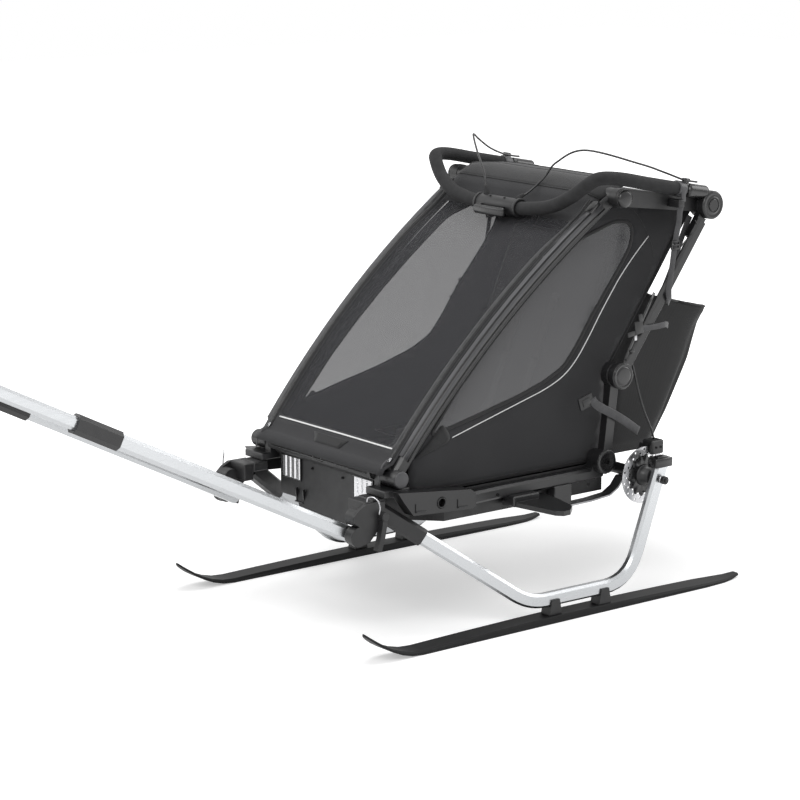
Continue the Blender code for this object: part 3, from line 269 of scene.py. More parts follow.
moulded_nylon = moulded("moulded_glass_filled_nylon", "#151516", "#1d1d1e", 0.46)
smooth_abs = moulded("polished_abs_cover", "#161617", "#1c1c1d", 0.24, 3.0 * MM)
tray_shell = moulded("rotomoulded_tray_shell", "#161617", "#1c1c1d", 0.5, 2.0 * MM)
print("moulded finishes:", moulded_nylon.name, smooth_abs.name, tray_shell.name)

# %% [markdown]
# Powder coat is a skin of melted polyester over the aluminium tube. It levels out but keeps a slight
# orange peel of 2 to 3 mm, and its edges wear to a paler grey.

# %% Powder coat
EDGE_RADIUS = 1.2 * MM


def powder_coat(name, dark, pale, rough):
    material, tree, shader = start_material(name, dark, rough, IOR=1.5)
    rounded = add_node(tree, "ShaderNodeBevel", {"Radius": EDGE_RADIUS}, samples=4)
    geometry = add_node(tree, "ShaderNodeNewGeometry")
    sharp = add_node(tree, "ShaderNodeVectorMath",
                     {0: rounded.outputs["Normal"], 1: geometry.outputs["Normal"]}, operation="DOT_PRODUCT")
    worn = add_node(
        tree, "ShaderNodeMapRange",
        {"Value": sharp.outputs["Value"], "From Min": 0.99, "From Max": 0.8, "To Min": 0.0, "To Max": 0.8})
    patchy = add_node(tree, "ShaderNodeMath", {0: worn.outputs["Result"], 1: cloudy(tree, 0.2, 1.0, 0.012)},
                      operation="MULTIPLY")
    mix = add_node(tree, "ShaderNodeMix", {"Factor": patchy.outputs[0], 6: colour(dark), 7: colour(pale)},
                   data_type="RGBA")
    tree.links.new(mix.outputs[2], shader.inputs["Base Color"])
    peel = add_node(
        tree, "ShaderNodeTexNoise", {"Vector": object_place(tree), "Scale": 1 / (2.5 * MM), "Detail": 1.0})
    bump = add_node(tree, "ShaderNodeBump",
                    {"Height": peel.outputs["Fac"], "Distance": 0.0001, "Strength": 0.35,
                     "Normal": rounded.outputs["Normal"]})
    tree.links.new(bump.outputs["Normal"], shader.inputs["Normal"])
    return material


dark_coat = powder_coat("graphite_powder_coat", "#1a1a1b", "#3e3e40", 0.36)
print("tube finish:", dark_coat.name)

# %% [markdown]
# The poles and ski arms are drawn aluminium, satin brushed along their length and clear anodised.
# Drawing lines are far finer than a pixel, so they are drawn 0.8 mm apart, long along the tube and
# short across it. The steel of the rotor and of the leaf spring is greyer: one is ground and the other
# rolled.

# %% Bare metals
def brushed(name, base, rough, stretch, rough_swing=0.07):
    material, tree, shader = start_material(name, base, rough, Metallic=1.0)
    lines = add_node(tree, "ShaderNodeMapping", {"Vector": object_place(tree), "Scale": stretch})
    noise = add_node(
        tree, "ShaderNodeTexNoise", {"Vector": lines.outputs["Vector"], "Scale": 1.0, "Detail": 2.0})
    swing = add_node(tree, "ShaderNodeMapRange",
                     {"Value": noise.outputs["Fac"], "From Min": 0.3, "From Max": 0.7,
                      "To Min": rough - rough_swing, "To Max": rough + rough_swing})
    tree.links.new(swing.outputs["Result"], shader.inputs["Roughness"])
    rounded = add_node(tree, "ShaderNodeBevel", {"Radius": EDGE_RADIUS}, samples=4)
    bump = add_node(tree, "ShaderNodeBump",
                    {"Height": noise.outputs["Fac"], "Distance": 0.00005, "Strength": 0.3,
                     "Normal": rounded.outputs["Normal"]})
    tree.links.new(bump.outputs["Normal"], shader.inputs["Normal"])
    return material


FINE, LONG = 1 / (0.8 * MM), 1 / (40 * MM)
silver_tube = brushed("clear_anodised_aluminium", "#bcbec0", 0.3, (FINE, LONG, FINE))
bright_steel = brushed("ground_stainless_steel", "#b8b8ba", 0.28, (FINE, FINE, LONG))
spring_steel = brushed("rolled_spring_steel", "#9c9c9e", 0.36, (FINE, LONG, FINE))
print("metals:", silver_tube.name, bright_steel.name, spring_steel.name)

# %% [markdown]
# The ski is a laminate: a matt black top sheet over a glass core, with a sintered black base and
# pressed edges. The grip is closed-cell EVA foam: matt, with pores of half a millimetre that are drawn
# at 1.6 mm, so that they show.

# %% Ski laminate and grip foam
ski_laminate, ski_tree, ski_shader = start_material("ski_top_sheet", "#0d0d0e", 0.55, IOR=1.32)
ski_tree.links.new(cloudy_colour(ski_tree, "#0b0b0c", "#131314", 0.12), ski_shader.inputs["Base Color"])
grain_bump(ski_tree, ski_shader, 4 * MM, 0.00008, 0.3, 0.002)

grip_foam, foam_tree, foam_shader = start_material("closed_cell_eva_foam", "#1f1f20", 0.86, IOR=1.45)
foam_tree.links.new(cloudy_colour(foam_tree, "#1a1a1b", "#262627", 0.02), foam_shader.inputs["Base Color"])
pores = add_node(
    foam_tree, "ShaderNodeTexVoronoi", {"Vector": object_place(foam_tree), "Scale": 1 / (1.6 * MM)})
pore_bump = add_node(
    foam_tree, "ShaderNodeBump", {"Height": pores.outputs["Distance"], "Distance": 0.0004, "Strength": 0.35})
foam_tree.links.new(pore_bump.outputs["Normal"], foam_shader.inputs["Normal"])

cable_jacket, cable_tree, cable_shader = start_material("extruded_pvc_cable_jacket", "#121213", 0.32, IOR=1.5)
cable_tree.links.new(cloudy(cable_tree, 0.26, 0.42, 0.006), cable_shader.inputs["Roughness"])
print("ski, foam and cable finishes made")

# %% [markdown]
# ## The rigid solids
# The rigid solids get their finish here. Most of them are already right and keep their mesh, and the
# few that finer pieces replace are named where that happens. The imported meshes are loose
# triangles, so a Weld modifier joins them and an Edge Split keeps the real edges crisp while curved
# faces shade smoothly. Modifiers don't change the solids themselves.

# %% Finishes of the solids
FINISHES = {"ski_left": ski_laminate, "ski_right": ski_laminate, "handlebar": grip_foam,
            "floor_tray": tray_shell, "front_bumper": tray_shell, "axle_beam": dark_coat,
            "rear_frame": dark_coat, "brake_housing": moulded_nylon, "brake_lever": smooth_abs,}
SIDE_FINISHES = {
    "ski_arm": silver_tube, "arm_socket": moulded_nylon, "ski_clamp_front": moulded_nylon,
    "ski_clamp_rear": moulded_nylon, "axle_button": moulded_nylon, "side_rail": dark_coat,
    "leaf_spring": spring_steel, "brake_rotor": bright_steel, "brake_caliper": moulded_nylon,
    "pole_clamp": moulded_nylon, "tow_pole_lower": silver_tube, "tow_pole_upper": silver_tube,
    "pole_coupling": smooth_abs, "clamp_lever": moulded_nylon, "pillar": dark_coat, "top_rail": moulded_nylon,
    "rear_link": dark_coat, "hub_shell": moulded_nylon, "hub_button": smooth_abs,}
SIDES = (("left", 1), ("right", -1))
EDGE_ANGLE = math.radians(32)

for name, finish in SIDE_FINISHES.items():
    for side_name, _ in SIDES:
        FINISHES[f"{name}_{side_name}"] = finish
for name, finish in FINISHES.items():
    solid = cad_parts[name]
    solid.data.materials.clear()
    solid.data.materials.append(finish)
    solid.data.shade_smooth()
    joined = solid.modifiers.new("joined", "WELD")
    joined.merge_threshold = 0.00001
    crisp = solid.modifiers.new("crisp", "EDGE_SPLIT")
    crisp.split_angle = EDGE_ANGLE
print(len(FINISHES), "solids finished")

# %% [markdown]
# ## Making pieces
# Every new piece is a mesh in measured places. One function moves the mesh to the model's frame,
# gives it its finish, and ties it to the body that it moves with. Its object stays at the origin, so
# a pattern on Object coordinates stays where it is when the model is exported.

# %% Piece helpers
def as_mesh(name, shape):
    """The mesh of a bmesh, which is freed."""
    mesh = bpy.data.meshes.new(name)
    shape.to_mesh(mesh)
    shape.free()
    return mesh


def new_piece(name, shape, material, body, smooth=True):
    """A piece from a bmesh, or from a mesh, in measured places, riding on a body if one is given."""
    mesh = as_mesh(name, shape) if isinstance(shape, bmesh.types.BMesh) else shape
    mesh.transform(Matrix.Translation((0.0, AHEAD, 0.0)))
    mesh.materials.clear()
    mesh.materials.append(material)
    if smooth:
        mesh.shade_smooth()
    obj = add_object(name, mesh)
    if body:
        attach(obj, body)
    return obj


def thicken(obj, thickness):
    skin = obj.modifiers.new("thickness", "SOLIDIFY")
    skin.thickness = thickness
    skin.offset = 0.0
    skin.use_even_offset = False
    return obj


def smooth_path(points, spacing=0.006):
    """Points of a smooth curve through the given ones, about a spacing apart."""
    knots = [Vector(p) for p in points]
    knots = [2 * knots[0] - knots[1]] + knots + [2 * knots[-1] - knots[-2]]
    path = []
    for a, b, c, d in zip(knots, knots[1:], knots[2:], knots[3:]):
        steps = max(2, round((c - b).length / spacing))
        for step in range(steps):
            t = step / steps
            path.append(0.5 * (2 * b + (c - a) * t + (2 * a - 5 * b + 4 * c - d) * t * t + (
                                   3 * b - a - 3 * c + d) * t ** 3))
    path.append(knots[-2])
    return path


def path_length(path):
    return sum((b - a).length for a, b in zip(path, path[1:]))


def swept(path, section, lean=None):
    """A closed bar: the section's (across, up) points carried along a path, up leaning towards lean."""
    shape = bmesh.new()
    rings, along_layer = [], shape.loops.layers.uv.new("UVMap")
    up = Vector(lean) if lean else None
    travelled, distances = 0.0, []
    for index, point in enumerate(path):
        ahead = (path[min(index + 1, len(path) - 1)] - path[max(index - 1, 0)]).normalized()
        if up is None:
            up = ahead.orthogonal()
        across = ahead.cross(up).normalized()
        true_up = across.cross(ahead).normalized()
        if lean is None:
            up = true_up
        rings.append([shape.verts.new(point + across * a + true_up * b) for a, b in section])
        distances.append(travelled)
        if index < len(path) - 1:
            travelled += (path[index + 1] - point).length
    girth = [0.0]
    for (a, b), (c, d) in zip(section, section[1:] + section[:1]):
        girth.append(girth[-1] + math.dist((a, b), (c, d)))
    count = len(section)
    for row, (ring, after) in enumerate(zip(rings, rings[1:])):
        for index in range(count):
            following = (index + 1) % count
            face = shape.faces.new((ring[index], ring[following], after[following], after[index]))
            places = ((index, row), (index + 1, row), (index + 1, row + 1), (index, row + 1))
            for loop, (around, along) in zip(face.loops, places):
                loop[along_layer].uv = (girth[around], distances[along])
    shape.faces.new(rings[0][::-1])
    shape.faces.new(rings[-1])
    bmesh.ops.recalc_face_normals(shape, faces=shape.faces)
    return shape


def round_section(radius, sides=10):
    return [(radius * math.cos(math.tau * i / sides), radius * math.sin(math.tau * i / sides))
            for i in range(sides)]


def flat_section(width, thickness):
    """A strap's section: flat, with its two edges drawn in a little."""
    w, t = width / 2, thickness / 2
    inner = w - thickness * 0.6
    return [(-w, 0.0), (-inner, -t), (0.0, -t), (inner, -t), (w, 0.0), (inner, t), (0.0, t), (-inner, t)]


def turned(profile, pivot, side=1, sides=32):
    """A turned piece about the X axis through a pivot's (y, z), from (x, radius) points, on one side."""
    shape = bmesh.new()
    rings = []
    for x, radius in profile:
        if radius < 1e-6:
            rings.append([shape.verts.new((side * x, pivot[0], pivot[1]))])
            continue
        rings.append(
            [shape.verts.new((side * x, pivot[0] + radius * math.cos(math.tau * i / sides),
                              pivot[1] + radius * math.sin(math.tau * i / sides))) for i in range(sides)])
    for ring, after in zip(rings, rings[1:]):
        for i in range(sides):
            j = (i + 1) % sides
            corners = [ring[i % len(ring)], ring[j % len(ring)], after[j % len(after)], after[i % len(after)]]
            distinct = list(dict.fromkeys(corners))
            if len(distinct) > 2:
                shape.faces.new(distinct)
    for ring in (rings[0], rings[-1]):
        if len(ring) > 1:
            shape.faces.new(ring)
    bmesh.ops.recalc_face_normals(shape, faces=shape.faces)
    return shape


def turned_ring(profile, pivot, side, sides=32):
    """A turned piece without its two end faces, so that it stays open in the middle."""
    shape = turned(profile, pivot, side, sides)
    ends = [face for face in shape.faces if len(face.verts) == sides]
    bmesh.ops.delete(shape, geom=ends, context="FACES_ONLY")
    return shape


def flip_x(points, side):
    return [(side * x, y, z) for x, y, z in points]


def ribbon(name, points, width, thickness, lean, material, body, spacing=0.008):
    """A flat strap or tape along a smooth path, its face looking along lean."""
    path = smooth_path(points, spacing)
    return new_piece(name, swept(path, flat_section(width, thickness), lean), material, body)


def cord_shape(points, radius, sides=10, spacing=0.006):
    return swept(smooth_path(points, spacing), round_section(radius, sides))


def tapered(points, radii, sides=14):
    """A round bar along straight points with a radius at each, closed at both ends."""
    shape = swept([Vector(p) for p in points], round_section(1.0, sides))
    shape.verts.ensure_lookup_table()
    for row, (point, radius) in enumerate(zip(points, radii)):
        for vert in shape.verts[row * sides:(row + 1) * sides]:
            vert.co = Vector(point) + (vert.co - Vector(point)) * radius
    return shape


def block(low, high, tilt=0.0):
    """A box between two corners, turned by an angle about the X axis through its middle."""
    shape = bmesh.new()
    bmesh.ops.create_cube(shape, size=1.0)
    low, high = Vector(low), Vector(high)
    middle = (low + high) / 2
    for vert in shape.verts:
        vert.co = Vector([middle[k] + vert.co[k] * abs(high[k] - low[k]) for k in range(3)])
    if tilt:
        turn = Matrix.Translation(middle) @ Matrix.Rotation(tilt, 4, "X") @ Matrix.Translation(-middle)
        bmesh.ops.transform(shape, matrix=turn, verts=shape.verts)
    return shape


def fitting(name, shape, material, body, edge):
    """A small moulded or pressed piece: its edges are rounded and its faces shaded smooth."""
    obj = new_piece(name, shape, material, body)
    rounding = obj.modifiers.new("rounding", "BEVEL")
    rounding.width = edge
    rounding.segments = 2
    rounding.angle_limit = math.radians(35)
    return obj


def merged(*shapes):
    """Several bmeshes as one."""
    whole = bmesh.new()
    for shape in shapes:
        mesh = as_mesh("part", shape)
        whole.from_mesh(mesh)
        bpy.data.meshes.remove(mesh)
    return whole


print("helpers ready")

# %% [markdown]
# ## Cloth finishes
# The body is coated polyester: a plain weave, matt, with a slightly paler bloom where the light
# grazes it. Threads are 0.5 mm apart on the real cloth, which a picture of this size can't show, so
# the weave is drawn 1.6 mm apart. It reads the cloth's own flat pattern, so it follows the surface.

# %% Woven cloth
THREAD = 1.6 * MM


def weave(tree, spacing):
    """Height of a plain weave, from the cloth's flat pattern in metres."""
    place = add_node(tree, "ShaderNodeUVMap", uv_map="UVMap").outputs["UV"]
    parts = add_node(tree, "ShaderNodeSeparateXYZ", {"Vector": place})
    waves = []
    for axis, shift in (("X", 0.0), ("Y", math.pi / 2)):
        turn = add_node(tree, "ShaderNodeMath", {0: parts.outputs[axis], 1: math.pi / spacing, 2: shift},
                        operation="MULTIPLY_ADD")
        waves.append(add_node(tree, "ShaderNodeMath", {0: turn.outputs[0]}, operation="SINE").outputs[0])
    crossed = add_node(tree, "ShaderNodeMath", {0: waves[0], 1: waves[1]}, operation="MULTIPLY")
    return add_node(tree, "ShaderNodeMath", {0: crossed.outputs[0]}, operation="ABSOLUTE").outputs[0]


def woven(name, dark, pale, rough=0.82, spacing=THREAD):
    material, tree, shader = start_material(
        name, dark, rough, Sheen_Weight=0.12, Sheen_Roughness=0.5, IOR=1.4)
    height = weave(tree, spacing)
    patches = cloudy_colour(tree, dark, pale, 0.16)
    deeper = add_node(tree, "ShaderNodeMix", {"Factor": 0.35, 6: patches, 7: (0.2, 0.2, 0.2, 1.0)},
                      data_type="RGBA", blend_type="MULTIPLY")
    tint = add_node(
        tree, "ShaderNodeMix", {"Factor": height, 6: patches, 7: deeper.outputs[2]}, data_type="RGBA")
    tree.links.new(tint.outputs[2], shader.inputs["Base Color"])
    bump = add_node(tree, "ShaderNodeBump", {"Height": height, "Distance": 0.00022, "Strength": 0.6})
    tree.links.new(bump.outputs["Normal"], shader.inputs["Normal"])
    return material


coated_polyester = woven("coated_polyester_plain_weave", "#252527", "#2b2b2d")
# The roof's copy of this cloth is painted a little darker: painted shade that takes off the strong light
# falling on its upward face.
roof_polyester_painted_shade = woven("painted_shade_roof_weave", "#222223", "#29292a")
trim_tape = woven("grosgrain_edge_tape", "#161617", "#1d1d1e", 0.7)
bag_polyester = woven("ripstop_luggage_polyester", "#0f0f10", "#151516", 0.78)
print("cloth finishes:", coated_polyester.name, roof_polyester_painted_shade.name, trim_tape.name, bag_polyester.name)

# %% [markdown]
# The front screen is knitted mesh. It is drawn about half open, so the eye sees the dark cabin behind
# it, and the far window where that lets the light through. The holes are about 1 mm wide, finer than
# a pixel here. They are drawn as slanted ribs 5 mm apart, near to how the photograph shows them.

# %% Mesh screen and window film
MESH_RIB = 5.0 * MM


def make_mesh_screen():
    material, tree, shader = start_material("knitted_mesh_screen", "#47474a", 0.75, Alpha=0.44, IOR=1.4)
    place = add_node(tree, "ShaderNodeUVMap", uv_map="UVMap").outputs["UV"]
    slanted = add_node(
        tree, "ShaderNodeMapping", {"Vector": place, "Rotation": (0.0, 0.0, math.radians(-28.0))})
    parts = add_node(tree, "ShaderNodeSeparateXYZ", {"Vector": slanted.outputs["Vector"]})
    turn = add_node(
        tree, "ShaderNodeMath", {0: parts.outputs["X"], 1: math.tau / MESH_RIB}, operation="MULTIPLY")
    wave = add_node(tree, "ShaderNodeMath", {0: turn.outputs[0]}, operation="SINE")
    open_share = add_node(tree, "ShaderNodeMapRange",
                          {"Value": wave.outputs[0], "From Min": -1.0, "To Min": 0.34, "To Max": 0.56})
    tree.links.new(open_share.outputs["Result"], shader.inputs["Alpha"])
    bump = add_node(
        tree, "ShaderNodeBump", {"Height": weave(tree, THREAD), "Distance": 0.0002, "Strength": 0.5})
    tree.links.new(bump.outputs["Normal"], shader.inputs["Normal"])
    return material


def make_window_film():
    """Smoke-tinted polyurethane film: smooth, a little wavy, and it lets a part of the light through."""
    material, tree, shader = start_material("smoked_window_film", "#525254", 0.2, Alpha=0.82, IOR=1.5)
    waves = add_node(tree, "ShaderNodeTexNoise", {"Vector": object_place(tree), "Scale": 14.0, "Detail": 1.0})
    bump = add_node(
        tree, "ShaderNodeBump", {"Height": waves.outputs["Fac"], "Distance": 0.004, "Strength": 0.25})
    tree.links.new(bump.outputs["Normal"], shader.inputs["Normal"])
    return material


mesh_screen = make_mesh_screen()
window_film = make_window_film()
print("see-through finishes:", mesh_screen.name, window_film.name)

# %% [markdown]
# Webbing is a narrow, thick weave with ribs across it every 1.4 mm, drawn at 2.2 mm. Piping and the
# printed strip are retroreflective: thousands of tiny glass beads turn light back, so they look
# almost white. The beads are far too fine to show, and are drawn as cells of 0.9 mm. The lamp-like
# reflectors are clear moulded prisms over a mirror, drawn as one pale and shiny finish.

# %% Webbing, reflective trim and small fittings
webbing, web_tree, web_shader = start_material("polyester_webbing", "#3c3c3e", 0.72, Sheen_Weight=0.2)
web_height = weave(web_tree, 2.2 * MM)
web_bump = add_node(web_tree, "ShaderNodeBump", {"Height": web_height, "Distance": 0.0004, "Strength": 0.7})
web_tree.links.new(web_bump.outputs["Normal"], web_shader.inputs["Normal"])
web_tree.links.new(cloudy_colour(web_tree, "#363638", "#434345", 0.02), web_shader.inputs["Base Color"])

reflective, beads_tree, beads_shader = start_material("glass_bead_reflective_tape", "#dcdcdc", 0.45, IOR=1.5)
beads = add_node(
    beads_tree, "ShaderNodeTexVoronoi", {"Vector": object_place(beads_tree), "Scale": 1 / (0.9 * MM)})
bead_bump = add_node(
    beads_tree, "ShaderNodeBump", {"Height": beads.outputs["Distance"], "Distance": 0.0002, "Strength": 0.4})
beads_tree.links.new(bead_bump.outputs["Normal"], beads_shader.inputs["Normal"])

prism, prism_tree, prism_shader = start_material("moulded_prism_reflector", "#d9d9db", 0.12, Metallic=0.75)
prism_cells = add_node(
    prism_tree, "ShaderNodeTexVoronoi", {"Vector": object_place(prism_tree), "Scale": 1 / (3.0 * MM)})
prism_bump = add_node(prism_tree, "ShaderNodeBump",
                      {"Height": prism_cells.outputs["Distance"], "Distance": 0.0006, "Strength": 0.5})
prism_tree.links.new(prism_bump.outputs["Normal"], prism_shader.inputs["Normal"])

light_nylon = moulded("grey_glass_filled_nylon", "#3c3c3e", "#454547", 0.42)
print("trim finishes made")

# %% [markdown]
# ## Rows, rings and screws
# Stitches, zip teeth, screw heads and drilled holes repeat. They could be copied in a loop, but a
# Geometry Nodes tree keeps the rule and its sizes in one place: it puts one small shape on evenly
# spaced points of a line and turns it to follow. The tree ends by making the copies real, because
# an instance isn't exported, and the result is turned into a plain mesh.

# %% Thread and screw finishes
sewing_thread = start_material("bonded_polyester_thread", "#3a3a3c", 0.7, Sheen_Weight=0.2)[0]
black_screw = start_material("black_oxide_screw_steel", "#141415", 0.32, Metallic=0.7)[0]
nickel_screw = start_material("nickel_plated_steel", "#a9a9ab", 0.25, Metallic=1.0)[0]

# %% Geometry Nodes helpers
SOCKETS = {float: "NodeSocketFloat", int: "NodeSocketInt", tuple: "NodeSocketVector"}


def start_tree(name, inputs):
    """A node tree with a geometry and a material input, and one named input for each size."""
    tree = bpy.data.node_groups.new(name, "GeometryNodeTree")
    tree.interface.new_socket("Geometry", in_out="INPUT", socket_type="NodeSocketGeometry")
    for socket, value in inputs.items():
        made = tree.interface.new_socket(socket, in_out="INPUT", socket_type=SOCKETS[type(value)])
        made.default_value = value
    tree.interface.new_socket("Finish", in_out="INPUT", socket_type="NodeSocketMaterial")
    tree.interface.new_socket("Geometry", in_out="OUTPUT", socket_type="NodeSocketGeometry")
    return tree, tree.nodes.new("NodeGroupInput").outputs, tree.nodes.new("NodeGroupOutput")


def end_tree(tree, sizes, output, geometry):
    """Make the copies real, give them their finish, and send them out."""
    real = add_node(tree, "GeometryNodeRealizeInstances", {"Geometry": geometry})
    finished = add_node(
        tree, "GeometryNodeSetMaterial", {"Geometry": real.outputs[0], "Material": sizes["Finish"]})
    tree.links.new(finished.outputs[0], output.inputs["Geometry"])


def applied(obj):
    """An object's mesh with its modifiers applied. The object itself is removed."""
    graph = bpy.context.evaluated_depsgraph_get()
    mesh = bpy.data.meshes.new_from_object(obj.evaluated_get(graph))
    bpy.data.objects.remove(obj)
    return mesh


def grown(tree, mesh, finish, **sizes):
    """The mesh that a tree makes from a start mesh and sizes, as plain geometry."""
    start = add_object("start", mesh)
    modifier = start.modifiers.new("tree", "NODES")
    modifier.node_group = tree
    sizes["Finish"] = finish
    for item in tree.interface.items_tree:
        if item.in_out == "INPUT" and item.name in sizes:
            modifier[item.identifier] = sizes[item.name]
    return applied(start)


def line_mesh(*lines):
    """A mesh of edges along one or more lines of points."""
    mesh = bpy.data.meshes.new("line")
    points, edges = [], []
    for line in lines:
        edges += [(len(points) + i, len(points) + i + 1) for i in range(len(line) - 1)]
        points += line
    mesh.from_pydata([tuple(p) for p in points], edges, [])
    return mesh


# %% A row of stitches or teeth
def make_row_tree(name, unit_kind, unit_settings, defaults):
    """Copies of a small shape along a line, X along it and Z leaning towards Up."""
    tree, sizes, output = start_tree(name, {**defaults, "Up": (0.0, 0.0, 1.0)})
    curve = add_node(tree, "GeometryNodeMeshToCurve", {"Mesh": sizes["Geometry"]})
    even = add_node(tree, "GeometryNodeResampleCurve",
                    {"Curve": curve.outputs[0], "Length": sizes["Spacing"]}, mode="LENGTH")
    tangent = add_node(tree, "GeometryNodeInputTangent")
    along = add_node(tree, "FunctionNodeAlignRotationToVector", {"Vector": tangent.outputs[0]}, axis="X")
    turned_up = add_node(tree, "FunctionNodeAlignRotationToVector",
                         {"Rotation": along.outputs[0], "Vector": sizes["Up"]}, axis="Z", pivot_axis="X")
    unit = add_node(tree, unit_kind, unit_settings)
    size = add_node(
        tree, "ShaderNodeCombineXYZ", {"X": sizes["Length"], "Y": sizes["Width"], "Z": sizes["Height"]})
    copies = add_node(tree, "GeometryNodeInstanceOnPoints",
                      {"Points": even.outputs[0], "Instance": unit.outputs["Mesh"],
                       "Rotation": turned_up.outputs[0], "Scale": size.outputs[0]})
    end_tree(tree, sizes, output, copies.outputs[0])
    return tree


# %% Screws
def make_screw_tree():
    """A round head with a hexagonal socket on every point, facing along Axis."""
    tree, sizes, output = start_tree(
        "screw_heads", {"Radius": 0.0035, "Height": 0.0024, "Axis": (0.0, 0.0, 1.0)})
    head = add_node(tree, "GeometryNodeMeshCylinder",
                    {"Vertices": 18, "Radius": sizes["Radius"], "Depth": sizes["Height"]})
    socket_radius = add_node(tree, "ShaderNodeMath", {0: sizes["Radius"], 1: 0.55}, operation="MULTIPLY")
    hexagon = add_node(tree, "GeometryNodeMeshCylinder",
                       {"Vertices": 6, "Radius": socket_radius.outputs[0], "Depth": sizes["Height"]})
    lift = add_node(tree, "ShaderNodeMath", {0: sizes["Height"], 1: 0.45}, operation="MULTIPLY")
    raised = add_node(tree, "ShaderNodeCombineXYZ", {"Z": lift.outputs[0]})
    placed = add_node(tree, "GeometryNodeTransform",
                      {"Geometry": hexagon.outputs["Mesh"], "Translation": raised.outputs[0]})
    drilled = add_node(
        tree, "GeometryNodeMeshBoolean", {"Mesh 1": head.outputs["Mesh"], "Mesh 2": placed.outputs[0]},
        operation="DIFFERENCE", solver="EXACT")
    facing = add_node(tree, "FunctionNodeAlignRotationToVector", {"Vector": sizes["Axis"]}, axis="Z")
    copies = add_node(
        tree, "GeometryNodeInstanceOnPoints",
        {"Points": sizes["Geometry"], "Instance": drilled.outputs[0], "Rotation": facing.outputs[0]})
    end_tree(tree, sizes, output, copies.outputs[0])
    return tree


stitch_tree = make_row_tree(
    "stitch_row", "GeometryNodeMeshUVSphere", {"Segments": 6, "Rings": 4, "Radius": 0.5},
    {"Spacing": 0.0042, "Length": 0.0032, "Width": 0.0009, "Height": 0.0006})
tooth_tree = make_row_tree("zip_teeth", "GeometryNodeMeshCube", {"Size": (1.0, 1.0, 1.0)},
                           {"Spacing": 0.003, "Length": 0.0016, "Width": 0.0046, "Height": 0.0012})
screw_tree = make_screw_tree()


def stitches(name, lines, body, up):
    """A row of stitches along each line of points, as one piece."""
    return new_piece(
        name, grown(stitch_tree, line_mesh(*lines), sewing_thread, Up=tuple(up)), sewing_thread, body)


def screws(name, places, axis, body, slot="plastic", **sizes):
    """Screw heads at places, facing along an axis."""
    mesh = bpy.data.meshes.new("places")
    mesh.from_pydata([tuple(p) for p in places], [], [])
    return new_piece(name, grown(screw_tree, mesh, black_screw, Axis=tuple(axis), **sizes), black_screw, body,
                     smooth=False)


print("row, tooth and screw trees ready")

# %% [markdown]
# ## Cutting cloth
# A cover is cut flat and then sewn to the frame. Here too: a pattern is a flat outline with marked
# areas in it, such as a window. A constrained Delaunay triangulation fills it with small triangles
# that follow every outline exactly, and each area then becomes a piece of its own. Its flat place in
# metres is kept as the UV map.

# %% Cut a pattern into areas
from mathutils import noise
from mathutils.geometry import delaunay_2d_cdt


def inside(point, outline):
    """Whether a flat point lies inside an outline."""
    x, y = point
    crossings = False
    for (ax, ay), (bx, by) in zip(outline, outline[1:] + outline[:1]):
        if (ay > y) != (by > y) and x < (bx - ax) * (y - ay) / (by - ay) + ax:
            crossings = not crossings
    return crossings


def closely(outline, spacing):
    """The outline with more points, so that none is further than a spacing from the next."""
    dense = []
    for a, b in zip(outline, outline[1:] + outline[:1]):
        steps = max(1, math.ceil(math.dist(a, b) / spacing))
        dense += [(a[0] + (b[0] - a[0]) * s / steps, a[1] + (b[1] - a[1]) * s / steps) for s in range(steps)]
    return dense


def rounded_outline(outline, reach, steps=5):
    """A flat outline with its corners turned into curves that begin a reach before each corner."""
    result = []
    for before, corner, after in zip(outline[-1:] + outline[:-1], outline, outline[1:] + outline[:1]):
        corner = Vector(corner)
        start = corner + (Vector(before) - corner).normalized() * min(
            reach, (Vector(before) - corner).length * 0.45)
        end = corner + (Vector(after) - corner).normalized() * min(
            reach, (Vector(after) - corner).length * 0.45)
        for step in range(steps + 1):
            t = step / steps
            result.append(tuple(start * (1 - t) ** 2 + corner * 2 * t * (1 - t) + end * t * t))
    return result


def cut_pattern(outline, areas, place, spacing):
    """One bmesh for the cloth and one for each marked area, set in space by place(a, b)."""
    loops = [closely(loop, spacing) for loop in (outline, *areas)]
    points, edges = [], []
    for loop in loops:
        first = len(points)
        points += loop
        edges += [(first + i, first + (i + 1) % len(loop)) for i in range(len(loop))]
    low = [min(p[k] for p in loops[0]) for k in (0, 1)]
    high = [max(p[k] for p in loops[0]) for k in (0, 1)]
    for row in range(int((high[1] - low[1]) / spacing) + 1):
        for column in range(int((high[0] - low[0]) / spacing) + 1):
            spot = (low[0] + (column + 0.5 * (row % 2)) * spacing, low[1] + row * spacing)
            near = min(math.dist(spot, p) for p in points[:sum(map(len, loops))])
            if inside(spot, loops[0]) and near > spacing * 0.55:
                points.append(spot)
    flat, _, faces, *_ = delaunay_2d_cdt([Vector(p) for p in points], edges, [], 1, 1e-7)
    made = []
    for part in range(len(loops)):
        shape = bmesh.new()
        verts, layer = {}, shape.loops.layers.uv.new("UVMap")
        for face in faces:
            middle = sum((flat[i] for i in face), Vector((0.0, 0.0))) / len(face)
            owner = next((k for k in range(len(loops) - 1, 0, -1) if inside(middle, loops[k])), 0)
            if owner != part or not inside(middle, loops[0]):
                continue
            for i in face:
                if i not in verts:
                    verts[i] = shape.verts.new(place(*flat[i]))
            made_face = shape.faces.new([verts[i] for i in face])
            for loop, i in zip(made_face.loops, face):
                loop[layer].uv = tuple(flat[i])
        made.append(shape)
    return made


def face_towards(shape, direction):
    """Turn the faces of an open cloth so that their front looks along a direction."""
    bmesh.ops.recalc_face_normals(shape, faces=shape.faces)
    leaning = sum((f.normal * f.calc_area() for f in shape.faces), Vector())
    if leaning.dot(Vector(direction)) < 0:
        bmesh.ops.reverse_faces(shape, faces=shape.faces)
    return shape


print("pattern cutter ready")

